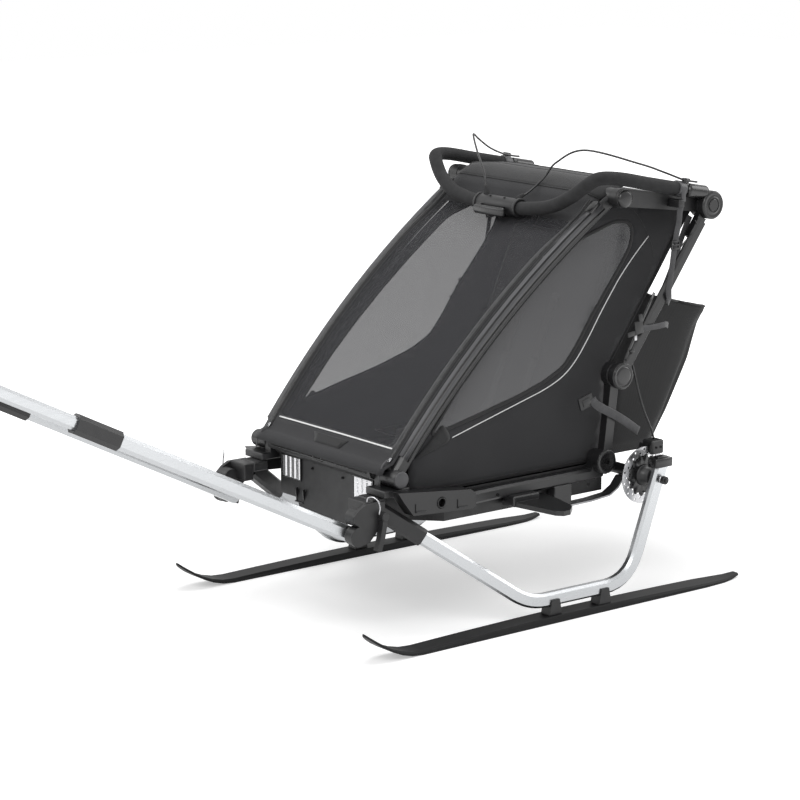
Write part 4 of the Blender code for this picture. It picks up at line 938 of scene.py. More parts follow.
# %% [markdown]
# ## Front screen
# The screen hangs between the two pillars. Its middle is mesh, and its edges are tape that carries
# the zips. Along the bottom, under a reflective strip, it is plain cloth with a stitched patch, and its
# lower edge wraps over the bumper's lip. The pattern is flat: across the width, and up along the
# pillars.

# %% Front screen
PILLAR_SLOPE = math.atan2(ROOF_PIVOT[1] - FRONT_PIVOT[1], ROOF_PIVOT[0] - FRONT_PIVOT[0])
PILLAR_LENGTH = math.dist(FRONT_PIVOT, ROOF_PIVOT)
PILLAR_BOW = 0.039
COVER_BOTTOM = -0.024
SILL_UP, SILL_BLEND = 0.034, 0.018
SILL = ((-0.4071, 0.4085), (-0.42, 0.4062), (-0.43, 0.401), (-0.4365, 0.393), (-0.4388, 0.385))
STRIP_UP = 0.056
MESH_TOP = 0.77
SEAM_UP = 0.8465
TAPE = 0.033
CLOTH_THICK = 1.2 * MM
PILLAR_FOOT_X, PILLAR_TOP_X = 0.256, 0.27415


def pillar_middle(share):
    return PILLAR_FOOT_X + (PILLAR_TOP_X - PILLAR_FOOT_X) * share


def on_pillars(x, up, lift):
    """A point x across, a distance up along the bowed pillars, and lifted square to their ends' line."""
    share = up / PILLAR_LENGTH
    lift += PILLAR_BOW * 4.0 * share * (1.0 - share)
    y = FRONT_PIVOT[0] + up * math.cos(PILLAR_SLOPE) - lift * math.sin(PILLAR_SLOPE)
    z = FRONT_PIVOT[1] + up * math.sin(PILLAR_SLOPE) + lift * math.cos(PILLAR_SLOPE)
    return Vector((x, y, z))


def cover_half(up):
    return pillar_middle(up / PILLAR_LENGTH) - 0.0015


def shoulder(x, half, reach=0.045):
    """1 over the middle, falling smoothly to 0 at the cloth's side edges."""
    inward = min(1.0, max(0.0, (half - abs(x)) / reach))
    return math.sin(math.pi / 2 * inward) ** 1.2


def over_sill(x, up, proud):
    """The screen's lower edge, which wraps forward over the bumper's rolled lip."""
    ahead = max(0.0, SILL_UP - SILL_BLEND - up)
    for (ay, az), (by, bz) in zip(SILL, SILL[1:]):
        step = math.dist((ay, az), (by, bz))
        if ahead <= step or (by, bz) == SILL[-1]:
            t = ahead / step
            return Vector((x, ay + (by - ay) * t - 0.75 * proud, az + (bz - az) * t + 0.66 * proud))
        ahead -= step


def cover_place(x, up, proud=0.0):
    """The screen's surface: taut on the pillars, held in under the brake, and wrapped over the lip."""
    half = cover_half(up)
    u = min(1.0, max(0.0, x / half / 2 + 0.5))
    v = min(1.0, max(0.0, up / SEAM_UP))
    crown = 0.009 * math.sin(math.pi * u) * math.sin(math.pi * v) * (1.0 - v)
    tucked = -0.009 * math.exp(-((up - 0.755) / 0.07) ** 2) * shoulder(x, half)
    rise = 0.02 * max(0.0, (up - 0.78) / (SEAM_UP - 0.78)) ** 1.5 * shoulder(x, half)
    pull = 0.0009 * noise.noise(Vector((x * 7, up * 3, 0.3))) * math.sin(math.pi * u)
    taut = on_pillars(x, up, 0.0192 + crown + tucked + rise + pull + proud)
    wrapped = min(1.0, max(0.0, (SILL_UP - up) / SILL_BLEND))
    return taut.lerp(over_sill(x, up, proud), wrapped) if wrapped else taut


def cover_band(low, high, inset_low, inset_high):
    """An outline across the screen between two heights, inset from the pillars."""
    return [(-cover_half(low) + inset_low, low), (cover_half(low) - inset_low, low),
            (cover_half(high) - inset_high, high), (-cover_half(high) + inset_high, high)]


cover_outline = cover_band(COVER_BOTTOM, SEAM_UP, 0.0, 0.0)
mesh_area = rounded_outline(cover_band(STRIP_UP + 0.006, MESH_TOP, TAPE, TAPE), 0.012)
cover_cloth, cover_mesh = cut_pattern(cover_outline, [mesh_area], cover_place, 0.016)
front_cloth = new_piece(
    "front_cover_cloth", face_towards(cover_cloth, (0, -1, 1)), coated_polyester, "pillars")
thicken(front_cloth, CLOTH_THICK)
front_mesh = new_piece(
    "front_cover_mesh", face_towards(cover_mesh, (0, -1, 1)), mesh_screen, "pillars")
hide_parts("front_cover")
print("front screen:", len(front_cloth.data.polygons), "+", len(front_mesh.data.polygons), "triangles")

# %% [markdown]
# ## Side walls
# Each wall is one cloth from the tray's rim up to the pillar, the roof rail and the rear leg, with a
# tinted window let into it. The window's lower edge follows a long curve that a reflective piping
# repeats below it. The pattern is the side view itself.

# %% Side walls and windows
TRAY_RIM = 0.3258
WALL_X = 0.248


def crouching(soft):
    """Give a soft piece of the cabin a mesh of its own."""
    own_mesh(soft)
    return soft


def between(a, b, share):
    return tuple(p + (q - p) * share for p, q in zip(a, b))


def under_pillar(y, gap=0.0242):
    """Height of a line a gap under the bowed pillar's middle, over a point of the floor."""
    up = 0.0
    for _ in range(30):
        up += (y - on_pillars(0.0, up, 0.0).y) * 0.9
    return on_pillars(0.0, up, 0.0).z - gap


def over_leg(y):
    return between(MID_PIVOT, HUB_PIVOT, (y - MID_PIVOT[0]) / (HUB_PIVOT[0] - MID_PIVOT[0]))[1] - 0.022


def under_rail(y):
    return between(ROOF_PIVOT, HUB_PIVOT, (y - ROOF_PIVOT[0]) / (HUB_PIVOT[0] - ROOF_PIVOT[0]))[1] - 0.012


def wall_top(y):
    """Height of the wall's edge, beside the pillar's inner face or under the roof rail."""
    return min(under_rail(y), under_pillar(y, 0.008))


WALL_OUTLINE = [(-0.36, TRAY_RIM), (0.24, TRAY_RIM), (0.244, over_leg(0.244)), (0.36, over_leg(0.36)),
                (0.49, over_leg(0.49))]
WALL_OUTLINE += [(y, wall_top(y)) for y in (0.49, 0.36, *(0.252 - 0.036 * i for i in range(18)))]
WINDOW_OUTLINE = [
    (-0.296, 0.46), (-0.044, 0.518), (0.05, 0.546), (0.112, 0.576), (0.156, 0.628), (0.2, 0.691),
    (0.252, 0.753), (0.295, 0.805), (0.326, 0.848), (0.332, 0.89), (0.312, 0.908), (0.27, 0.91), (0.236, 0.9)]
WINDOW_OUTLINE += [(y, under_pillar(y, 0.044)) for y in (0.165, 0.1, 0.03, -0.05, -0.13, -0.21)]


def wall_place(y, z, side=1, proud=0.0):
    """The wall's surface: it bows out a little in the middle and has shallow folds."""
    top = min(under_pillar(y), under_rail(y))
    share = min(1.0, max(0.0, (z - TRAY_RIM) / max(0.02, top - TRAY_RIM)))
    bow = 0.007 * math.sin(math.pi * share)
    folds = 0.0022 * noise.noise(Vector((y * 9, z * 5, 0.7))) * math.sin(math.pi * share)
    return Vector((side * (WALL_X + bow + folds + proud), y, z))


walls, windows = {}, {}
for side_name, side in SIDES:
    cloth, film = cut_pattern(
        WALL_OUTLINE, [rounded_outline(WINDOW_OUTLINE, 0.014, 3)], lambda y, z: wall_place(y, z, side), 0.018)
    wall = new_piece(
        f"side_wall_{side_name}", face_towards(cloth, (side, 0, 0)), coated_polyester, "base")
    thicken(wall, CLOTH_THICK)
    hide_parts(f"side_panel_{side_name}")
    window = new_piece(
        f"side_window_{side_name}", face_towards(film, (side, 0, 0)), window_film, "base")
    crouching(wall)
    crouching(window)
    walls[side_name], windows[side_name] = wall, window
print("side walls:", [len(w.data.polygons) for w in walls.values()], "triangles")

# %% [markdown]
# ## Roof
# The roof is a short piece of the same cloth, stretched from the screen's top edge back to the hubs.
# Its colour is painted a little darker than the walls': painted shade against the strong light on its upward
# face.
# It stands a little higher over its middle than at its side edges, falls towards the rear, and has
# shallow puckers. A strip of cloth in front of it joins it to the screen; it rides on no body.

# %% Roof
ROOF_HALF = 0.285
BROW_DEPTH = 0.096
ROOF_THICK = 1.6 * MM


def roof_place(x, y, proud=0.0):
    v = (y - ROOF_PIVOT[0] - 0.02) / (HUB_PIVOT[0] - ROOF_PIVOT[0] - 0.04)
    height = ROOF_PIVOT[1] + 0.026 - 0.052 * v * v + 0.009 * shoulder(x, ROOF_HALF, 0.11)
    pucker = 0.0012 * noise.noise(Vector((x * 16, y * 9, 2.1)))
    return Vector((x, y, height + pucker + proud))


ROOF_FRONT, ROOF_REAR = ROOF_PIVOT[0] + 0.03, HUB_PIVOT[0] - 0.02
roof_shape, = cut_pattern([(-ROOF_HALF, ROOF_FRONT), (ROOF_HALF, ROOF_FRONT), (ROOF_HALF, ROOF_REAR),
                           (-ROOF_HALF, ROOF_REAR)], [], roof_place, 0.014)
roof = new_piece("roof_cloth", face_towards(roof_shape, (0, 0, 1)), roof_polyester_painted_shade, "roof")
thicken(roof, ROOF_THICK)
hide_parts("roof_panel")


def brow_place(x, share, proud=0.0):
    """The cloth over the front pivots, from the screen's top seam back to the roof."""
    front_x, rear_x = x * cover_half(SEAM_UP) / ROOF_HALF, x
    front, rear = cover_place(front_x, SEAM_UP), roof_place(rear_x, ROOF_FRONT)
    bend = front.lerp(rear, 0.5) + Vector((0.0, -0.006, 0.004 + 0.01 * shoulder(x, ROOF_HALF)))
    return front * (1 - share) ** 2 + bend * 2 * share * (1 - share) + rear * share ** 2 + Vector(
        (0, 0, proud))


brow_shape, = cut_pattern(
    [(-ROOF_HALF, 0.0), (ROOF_HALF, 0.0), (ROOF_HALF, BROW_DEPTH), (-ROOF_HALF, BROW_DEPTH)], [], lambda x,
    along: brow_place(x, along / BROW_DEPTH), 0.014)
brow = new_piece("roof_brow_cloth", face_towards(brow_shape, (0, -1, 1)), roof_polyester_painted_shade, None)
thicken(brow, ROOF_THICK)
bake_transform(brow)
print("roof:", len(roof.data.polygons) + len(brow.data.polygons), "triangles")

# %% [markdown]
# ## Rear wall and luggage bag
# The rear wall hangs between the legs. The bag is a loose shell of thinner cloth, open at the top:
# its wall is lofted from rings, with upright folds where the cloth has more length than it needs,
# and its rim is bound with tape.

# %% Rear wall
REAR_HALF, REAR_LOW_HALF = 0.259, 0.243
TO_MID, MID_TO_RIM = 0.4817, 0.219
REAR_RIM = (0.235, 0.331)


def rear_place(x, down):
    """A point x across and a distance down from the hubs: along the legs, then to the tray's rim."""
    if down < TO_MID:
        y, z = between(HUB_PIVOT, MID_PIVOT, down / TO_MID)
    else:
        y, z = between(MID_PIVOT, REAR_RIM, min(1.0, (down - TO_MID) / MID_TO_RIM))
    sag = 0.0025 * noise.noise(Vector((x * 6, down * 8, 4.0)))
    return Vector((x, y + 0.0129 + sag, z - 0.004))


rear_half = [(REAR_HALF, 0.0), (REAR_HALF, 0.46), (REAR_LOW_HALF, 0.472), (REAR_LOW_HALF, 0.698)]
rear_outline = [(-REAR_HALF, 0.0)] + rear_half + [(-x, down) for x, down in rear_half[:0:-1]]
rear_shape, = cut_pattern(rear_outline, [], rear_place, 0.022)
rear_wall = new_piece(
    "rear_wall_cloth", face_towards(rear_shape, (0, 1, 0)), coated_polyester, "base")
thicken(rear_wall, CLOTH_THICK)
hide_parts("rear_panel")
crouching(rear_wall)
print("rear wall:", len(rear_wall.data.polygons), "triangles")

# %% Luggage bag
BAG_HALF = 0.235
BAG_LEVELS = (
    (0.316, 0.262, 0.4865, 0.8, 0.0), (0.345, 0.262, 0.498, 0.87, 0.0), (0.412, 0.262, 0.5245, 0.95, 0.0),
    (0.537, 0.262, 0.5855, 1.0, 0.0), (0.62, 0.335, 0.6115, 1.0, 0.04), (0.656, 0.38, 0.6315, 1.0, 0.066))
AROUND, UPWARD = 150, 34
BAG_GIRTH, BAG_HEIGHT = 1.45, 0.4
BAG_SQUARENESS = 2 / 7


def bag_level(v):
    """The bag's measures at a share of its height: z, front, rear, width share and rise of the rim."""
    place = v * (len(BAG_LEVELS) - 1)
    index = min(int(place), len(BAG_LEVELS) - 2)
    return between(BAG_LEVELS[index], BAG_LEVELS[index + 1], place - index)


def bag_point(u, v, inward=0.0):
    z, front, rear, share, rise = bag_level(v)
    turn = math.tau * u
    cos_t, sin_t = math.cos(turn), math.sin(turn)
    x = math.copysign(abs(cos_t) ** BAG_SQUARENESS, cos_t)
    y = math.copysign(abs(sin_t) ** BAG_SQUARENESS, sin_t)
    fold = 0.5 + 0.5 * noise.noise(Vector((cos_t * 4.0, sin_t * 4.0, v * 1.6)))
    depth = inward + 0.016 * fold * math.sin(math.pi * min(1.0, v * 1.08)) ** 0.7 + 0.0012
    half_x, half_y = BAG_HALF * share - depth, (rear - front) / 2 - depth
    middle = (front + rear) / 2
    here = middle + y * half_y
    slump = 0.006 * noise.noise(Vector((cos_t * 2.2, sin_t * 2.2, 9.0))) * v ** 3
    return Vector((x * half_x, here, z + rise * (rear - here) / (rear - front) + slump))


def make_bag():
    shape = bmesh.new()
    layer = shape.loops.layers.uv.new("UVMap")
    walls = [[shape.verts.new(bag_point(i / AROUND, j / UPWARD)) for i in range(AROUND)]
             for j in range(UPWARD + 1)]
    lining = [[shape.verts.new(bag_point(i / AROUND, j / UPWARD, 0.0025)) for i in range(AROUND)]
              for j in range(UPWARD, 0, -1)]
    rows = walls + lining
    for j, (ring, after) in enumerate(zip(rows, rows[1:])):
        for i in range(AROUND):
            k = (i + 1) % AROUND
            face = shape.faces.new((ring[i], ring[k], after[k], after[i]))
            for loop, (a, b) in zip(face.loops, ((i, j), (i + 1, j), (i + 1, j + 1), (i, j + 1))):
                loop[layer].uv = (a * BAG_GIRTH / AROUND, b * BAG_HEIGHT / UPWARD)
    shape.faces.new(rows[0][::-1])
    shape.faces.new(rows[-1])
    bmesh.ops.recalc_face_normals(shape, faces=shape.faces)
    return shape


bag = new_piece("luggage_bag", make_bag(), bag_polyester, "base")
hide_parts("cargo_bag")
crouching(bag)
rim_path = [bag_point(i / AROUND, 1.0, 0.0012) + Vector((0, 0, 0.0015)) for i in range(AROUND)]
bag_rim = new_piece("luggage_bag_rim", swept(rim_path + rim_path[:1], round_section(0.0032, 8), (0, 0, 1)),
                    trim_tape, "base")
crouching(bag_rim)
print("bag:", len(bag.data.polygons), "faces")

# %% [markdown]
# ## Seat
# The cushion and the back are foam in cloth covers. Each starts as a box a little smaller than the
# pad, is blown up by a short cloth simulation with inner pressure, and so gets the crowned faces and
# pulled-in sides of a stuffed pad. How far a point may move is capped.

# %% Seat pads
seat_cloth = woven("seat_cover_polyester", "#1e1e1f", "#272728", 0.85, 2.0 * MM)


def pad_block(low, high):
    """A closed block of small squares, with its edges rounded, that the simulation starts from."""
    shape = bmesh.new()
    size = Vector(high) - Vector(low)
    bmesh.ops.create_cube(shape, size=1.0)
    for vert in shape.verts:
        vert.co = Vector(low) + Vector([(vert.co[k] + 0.5) * size[k] for k in range(3)])
    bmesh.ops.bevel(shape, geom=shape.edges[:], offset=min(size) * 0.32, segments=3, affect="EDGES")
    return as_mesh("pad", shape)


def blown_up(name, mesh, voxel, pressure, cap):
    """The mesh remeshed evenly and blown up by cloth pressure, no point moving further than the cap."""
    obj = add_object(name, mesh)
    even = obj.modifiers.new("even", "REMESH")
    even.mode = "VOXEL"
    even.voxel_size = voxel
    frames = 20
    start = applied(obj)
    obj = add_object(name, start)
    rest = [v.co.copy() for v in start.vertices]
    cloth = obj.modifiers.new("cloth", "CLOTH")
    cloth.settings.use_pressure = True
    cloth.settings.uniform_pressure_force = pressure
    cloth.settings.effector_weights.gravity = 0.0
    cloth.settings.quality = 5
    scene = bpy.context.scene
    for step in range(1, frames + 1):
        scene.frame_set(step)
    result = applied(obj)
    scene.frame_set(1)
    for vert, before in zip(result.vertices, rest):
        move = vert.co - before
        if move.length > cap:
            vert.co = before + move.normalized() * cap
    return result


def add_flat_uv(mesh, across, up):
    """A UV map in metres, from each point's place along two directions."""
    layer = mesh.uv_layers.new(name="UVMap")
    across, up = Vector(across), Vector(up)
    for loop in mesh.loops:
        place = mesh.vertices[loop.vertex_index].co
        layer.data[loop.index].uv = (place.dot(across), place.dot(up))


CUSHION = ((-0.1903, -0.1203, 0.2663), (0.1903, 0.0963, 0.3797))
CUSHION_TOP, CHANNEL_PITCH, CHANNEL_DEPTH = 0.36, 0.095, 0.004
cushion_mesh = blown_up("cushion_start", pad_block(*CUSHION), 0.008, 4.0, 0.009)
for vert in cushion_mesh.vertices:
    if vert.co.z > CUSHION_TOP and math.cos(math.tau * vert.co.x / CHANNEL_PITCH) < -0.93:
        vert.co.z -= CHANNEL_DEPTH
add_flat_uv(cushion_mesh, (1, 0, 0), (0, 1, 0))
cushion = new_piece("seat_pad", cushion_mesh, seat_cloth, "base")
cushion.modifiers.new("smoother", "SUBSURF").levels = 1
cushion.modifiers["smoother"].render_levels = 1
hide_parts("seat_cushion")

SEAT_FOOT, SEAT_HEAD = (0.113, 0.33), (0.342, 0.86)
SEAT_LENGTH = math.dist(SEAT_FOOT, SEAT_HEAD)
SEAT_ANGLE = 1.16
seat_lean = Matrix.Rotation(math.atan2(SEAT_HEAD[1] - SEAT_FOOT[1], SEAT_HEAD[0] - SEAT_FOOT[0]), 4, "X")
back_mesh = blown_up(
    "back_start", pad_block((-0.1903, 0.0061, -0.0063), (0.1903, SEAT_LENGTH - 0.0061, 0.0063)), 0.004, 3.0,
    0.0024)
back_mesh.transform(Matrix.Translation((0, *SEAT_FOOT)) @ seat_lean)
add_flat_uv(back_mesh, (1, 0, 0), (0, math.cos(SEAT_ANGLE), math.sin(SEAT_ANGLE)))
seat_back = new_piece("seat_back_pad", back_mesh, seat_cloth, "base")
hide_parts("seat_back")
crouching(seat_back)
print("seat pads:", len(cushion.data.polygons), "and", len(seat_back.data.polygons), "faces")

# %% [markdown]
# ## Screen trim
# A reflective line crosses the screen over a stitched patch. On each side a zip runs from the sill to
# the roof seam, sewn down with two rows of stitches, and a webbing pull hangs from its slider.

# %% Lines over the screen
COVER_UP = Vector((0.0, -math.sin(PILLAR_SLOPE), math.cos(PILLAR_SLOPE)))
LINE_HALF = 0.222
ZIP_INSET = 0.0165


def across_cover(up, half, proud, steps=24):
    return [cover_place(half * (2 * i / steps - 1), up, proud) for i in range(steps + 1)]


def along_cover(side, inset, low, high, proud, steps=48):
    ups = [low + (high - low) * i / steps for i in range(steps + 1)]
    return [cover_place(side * (cover_half(up) - inset), up, proud) for up in ups]


new_piece("screen_reflective_line",
          swept(across_cover(STRIP_UP, LINE_HALF, 0.001), flat_section(0.0042, 0.001), COVER_UP), reflective,
          "pillars")
patch_outline = rounded_outline([(-0.07, 0.045), (0.07, 0.045), (0.044, 0.019), (-0.044, 0.019)], 0.008)
patch_shape, = cut_pattern(patch_outline, [], lambda x, up: cover_place(x, up, 0.0013), 0.01)
thicken(new_piece("screen_patch", face_towards(patch_shape, (0, -1, 1)), trim_tape, "pillars"),
        CLOTH_THICK)
seam_outline = [
    cover_place(x * 0.95, 0.032 + (up - 0.032) * 0.86, 0.0021) for x, up in closely(patch_outline, 0.01)]
stitches("screen_patch_stitches", [seam_outline + seam_outline[:1]], "pillars", COVER_UP)

# %% Zips
for side_name, side in SIDES:
    tape = along_cover(side, ZIP_INSET, 0.03, 0.836, 0.0011)
    new_piece(f"screen_zip_tape_{side_name}", swept(tape, flat_section(0.014, 0.0014), COVER_UP), trim_tape,
              "pillars")
    teeth = grown(tooth_tree, line_mesh(along_cover(side, ZIP_INSET, 0.032, 0.834, 0.0021)), smooth_abs,
                  Up=tuple(COVER_UP))
    new_piece(f"screen_zip_teeth_{side_name}", teeth, smooth_abs, "pillars", smooth=False)
    stitches(f"screen_edge_stitches_{side_name}",
             [along_cover(side, inset, 0.028, 0.838, 0.001) for inset in (0.005, 0.0285)], "pillars",
             COVER_UP)
    slider = cover_place(side * (cover_half(0.03) - ZIP_INSET), 0.03, 0.003)
    fitting(f"screen_zip_slider_{side_name}",
            block(slider - Vector((0.004, 0.006, 0.0016)), slider + Vector((0.004, 0.006, 0.002)),
                  PILLAR_SLOPE), nickel_screw, "pillars", 0.0008)
    hang = [slider + Vector((0, -0.004, 0.001)), slider + Vector((0, -0.016, -0.004)),
            slider + Vector((side * 0.002, -0.03, -0.024)), slider + Vector((side * 0.004, -0.036, -0.05))]
    ribbon(f"screen_zip_pull_{side_name}", hang, 0.006, 0.0026, (0, -0.8, 0.5), webbing, "pillars")
print("screen trim:", STRIP_UP, "m up to the line")

# %% [markdown]
# ## Roof seams
# The roof cloth is sewn from strips. Each seam is a folded edge that stands up as a thin ridge with a
# row of stitches beside it, and the rear edge is a turned hem.

# %% Roof seams
def across_roof(y, proud, half=ROOF_HALF, steps=26):
    return [roof_place(half * (2 * i / steps - 1), y, proud) for i in range(steps + 1)]


def across_brow(share, proud, steps=26):
    return [brow_place(ROOF_HALF * (2 * i / steps - 1), share, proud) for i in range(steps + 1)]


UPWARDS = (0.0, 0.0, 1.0)
new_piece("brow_seam", swept(across_brow(0.015, 0.0012), round_section(0.0018, 8)), trim_tape, "pillars")
stitches("brow_seam_stitches", [across_brow(0.0, -0.001)], "pillars", UPWARDS)
new_piece("roof_cross_seam", swept(across_roof(0.33, 0.0012), round_section(0.0016, 8)), trim_tape, "roof")
new_piece("roof_rear_hem", swept(across_roof(ROOF_REAR - 0.008, 0.0008), flat_section(0.016, 0.003), UPWARDS),
          roof_polyester_painted_shade, "roof")
stitches("roof_stitches", [across_roof(0.337, 0.0012), across_roof(ROOF_REAR - 0.019, 0.0012)], "roof",
         UPWARDS)
for side_name, side in SIDES:
    edge = [roof_place(side * (ROOF_HALF - 0.002), ROOF_FRONT + (ROOF_REAR - ROOF_FRONT) * i / 20, 0.001)
            for i in range(21)]
    new_piece(f"roof_edge_piping_{side_name}", swept(edge, round_section(0.0024, 8)), trim_tape, "roof")
print("roof seams sewn")

# %% [markdown]
# ## Side wall trim
# A dark binding frames each window. Below it runs the reflective piping, and in front the wall has a
# rounded patch beside the pillar's foot.

# %% Window binding, piping and patches
PIPING = ((-0.232, 0.45), (-0.12, 0.481), (-0.011, 0.511), (0.05, 0.528), (0.099, 0.548), (0.13, 0.569),
          (0.155, 0.594), (0.175, 0.62), (0.195, 0.648), (0.223, 0.689), (0.256, 0.732), (0.291, 0.775),
          (0.337, 0.823), (0.384, 0.865))
WALL_SEAM = ((0.338, 0.93), (0.36, 0.906), (0.382, 0.87), (0.396, 0.84), (0.402, 0.81))
FOOT_PATCH = ((-0.345, 0.412), (-0.243, 0.44), (-0.238, 0.456), (-0.258, 0.486), (-0.3, 0.448))


def on_wall(points, side, proud):
    return [wall_place(y, z, side, proud) for y, z in points]


for side_name, side in SIDES:
    outward = (side, 0, 0)
    frame_line = on_wall(closely(rounded_outline(WINDOW_OUTLINE, 0.02, 4), 0.012), side, 0.0013)
    crouching(new_piece(f"window_binding_{side_name}",
                        swept(frame_line + frame_line[:1], flat_section(0.0085, 0.0016), outward), trim_tape,
                        "base"))
    piping = smooth_path(on_wall(PIPING, side, 0.0016), 0.008)
    crouching(new_piece(f"wall_piping_{side_name}", swept(piping, round_section(0.0013, 8)), reflective,
                        "base"))
    crouching(stitches(f"wall_stitches_{side_name}",
                       [smooth_path(on_wall(WALL_SEAM, side, 0.0014)),
                        smooth_path([p + Vector((0, 0.003, -0.006)) for p in piping[::4]]),
                        smooth_path(on_wall([(-0.33, 0.334), (-0.1, 0.334), (0.19, 0.334)], side, 0.0014))],
                       "base", outward))
    patch, = cut_pattern(
        rounded_outline(list(FOOT_PATCH), 0.012), [], lambda y, z: wall_place(y, z, side, 0.0018), 0.012)
    crouching(thicken(new_piece(f"wall_foot_patch_{side_name}", face_towards(patch, outward), trim_tape,
                                "base"), 1.4 * MM))
print("side wall trim:", len(PIPING), "points of piping")

# %% [markdown]
# ## Pillars and hinge caps
# Each pillar carries a paler clip-in strip along its top and a groove along its outer face. The
# hinges end in turned caps: a domed one at the roof, a flat one at the foot, and a wide disc with a
# stepped rim in the middle. A turned shape is a profile carried round the hinge's axis.

# %% Pillar strips
STRIP_LOW, STRIP_HIGH = 0.046, 0.838
TOP_FACE, OUTER_FACE = 0.0172, 0.01175


def along_pillar(side, out, lift, low=STRIP_LOW, high=STRIP_HIGH, steps=12):
    """Points along a pillar, a distance out from its middle and lifted above it."""
    ups = [low + (high - low) * i / steps for i in range(steps + 1)]
    return [on_pillars(side * (pillar_middle(up / PILLAR_LENGTH) + out), up, lift) for up in ups]


for side_name, side in SIDES:
    new_piece(f"pillar_strip_{side_name}",
              swept(along_pillar(side, 0.0026, TOP_FACE + 0.0012), flat_section(0.0168, 0.0028), COVER_UP),
              light_nylon, "pillars")
    new_piece(f"pillar_side_strip_{side_name}",
              swept(along_pillar(side, OUTER_FACE + 0.0006, 0.0085), flat_section(0.012, 0.0022),
                    (side, 0, 0)), light_nylon, "pillars")
    new_piece(f"pillar_groove_{side_name}",
              swept(along_pillar(side, OUTER_FACE + 0.0008, -0.002), flat_section(0.0038, 0.0018),
                    (side, 0, 0)), smooth_abs, "pillars")
    top = on_pillars(side * (pillar_middle(0.93) + 0.001), 0.818, 0.0185)
    fitting(f"pillar_end_block_{side_name}",
            block(top - Vector((0.0112, 0.018, 0.003)), top + Vector((0.0112, 0.018, 0.005)), PILLAR_SLOPE),
            smooth_abs, "pillars", 0.0016)

# %% Turned caps of the hinges
ROOF_DOME = ((0.3164, 0.0222), (0.319, 0.0222), (0.3215, 0.0214), (0.324, 0.0188), (0.3255, 0.014),
             (0.3263, 0.007), (0.3266, 0.0))
FOOT_CAP = ((0.2836, 0.02), (0.2852, 0.0198), (0.2866, 0.0188), (0.2872, 0.0168), (0.2874, 0.0))
LEG_DISC = ((0.3345, 0.031), (0.3362, 0.031), (0.3372, 0.0302), (0.3376, 0.0285), (0.3376, 0.0245),
            (0.3368, 0.0238), (0.3368, 0.023), (0.3378, 0.0222), (0.3384, 0.018), (0.3386, 0.0))
LINK_DISC = ((0.308, 0.029), (0.3096, 0.029), (0.3104, 0.028), (0.3104, 0.02), (0.3098, 0.019), (0.3098, 0.0))
HUB_BEAD = ((0.3386, 0.0335), (0.3396, 0.033), (0.3402, 0.031), (0.3402, 0.0275), (0.3396, 0.0262),
            (0.3396, 0.0205), (0.3404, 0.0198), (0.3404, 0.0178), (0.3394, 0.017), (0.3386, 0.017))
for side_name, side in SIDES:
    for name, profile, pivot, body, finish in (
        ("roof_hinge_dome", ROOF_DOME, ROOF_PIVOT, "roof", smooth_abs),
        ("foot_hinge_cap", FOOT_CAP, FRONT_PIVOT, "pillars", light_nylon),
        ("leg_hinge_disc", LEG_DISC, MID_PIVOT, "rear", smooth_abs),
        ("link_hinge_disc", LINK_DISC, LOW_PIVOT, "link", smooth_abs)):
        new_piece(f"{name}_{side_name}", turned(profile, pivot, side, 40), finish, body)
    bead = turned_ring(HUB_BEAD, HUB_PIVOT, side, 40)
    new_piece(f"hub_bead_{side_name}", bead, smooth_abs, "handlebar")
    screws(f"link_screw_{side_name}", [(side * 0.3104, *LOW_PIVOT)], (side, 0, 0), "link", Radius=0.007,
           Height=0.0034)
print("hinge caps turned")

# %% [markdown]
# ## Handlebar
# A foam grip covers the bent tube, and a glossy sleeve covers its last stretch to each hub. A grey
# collar carries the brake cable's clip. The brake's housing has a ring at each end, two slots on top
# and a soft boot where each cable leaves it. Its housing and lever replace the plainer solids.

# %% Grip and sleeves
BAR_ROUTE = ((0.3225, 0.5, 0.97), (0.323, 0.43, 0.983), (0.323, 0.317, 1.005), (0.32, 0.224, 1.024),
             (0.306, 0.172, 1.027), (0.285, 0.154, 1.012), (0.24, 0.138, 0.978), (0.18, 0.128, 0.951),
             (0.09, 0.124, 0.937), (0.03, 0.124, 0.9365))
GRIP_RADIUS, SLEEVE_RADIUS, COLLAR_RADIUS = 0.0165, 0.0171, 0.0195
GRIP_END = 0.437
bar_line = smooth_path(list(BAR_ROUTE) + flip_x(BAR_ROUTE[::-1], -1))
grip_line = [p for p in bar_line if p.y <= GRIP_END]
grip = new_piece(
    "handlebar_grip", swept(grip_line, round_section(GRIP_RADIUS, 28)), grip_foam, "handlebar")
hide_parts("handlebar")
for side_name, side in SIDES:
    sleeve = [p for p in bar_line if p.y > GRIP_END - 0.004 and p.x * side > 0]
    new_piece(f"handlebar_sleeve_{side_name}", swept(sleeve, round_section(SLEEVE_RADIUS, 28)), smooth_abs,
              "handlebar")
    collar = [p for p in bar_line if 0.402 < p.y < 0.426 and p.x * side > 0]
    shape = merged(swept(collar, round_section(COLLAR_RADIUS, 28)),
                   block((side * 0.339, 0.406, 0.956), (side * 0.3425, 0.42, 0.988)))
    fitting(f"handlebar_collar_{side_name}", shape, light_nylon, "handlebar", 0.0008)
    clip = [Vector((side * 0.333, 0.418 + 0.01 * i, 1.009 - 0.0018 * i)) for i in range(3)]
    new_piece(f"handlebar_cable_clip_{side_name}",
              merged(swept(clip, round_section(0.0046, 12)),
                     block((side * 0.327, 0.42, 0.999), (side * 0.335, 0.436, 1.006))), smooth_abs,
              "handlebar")

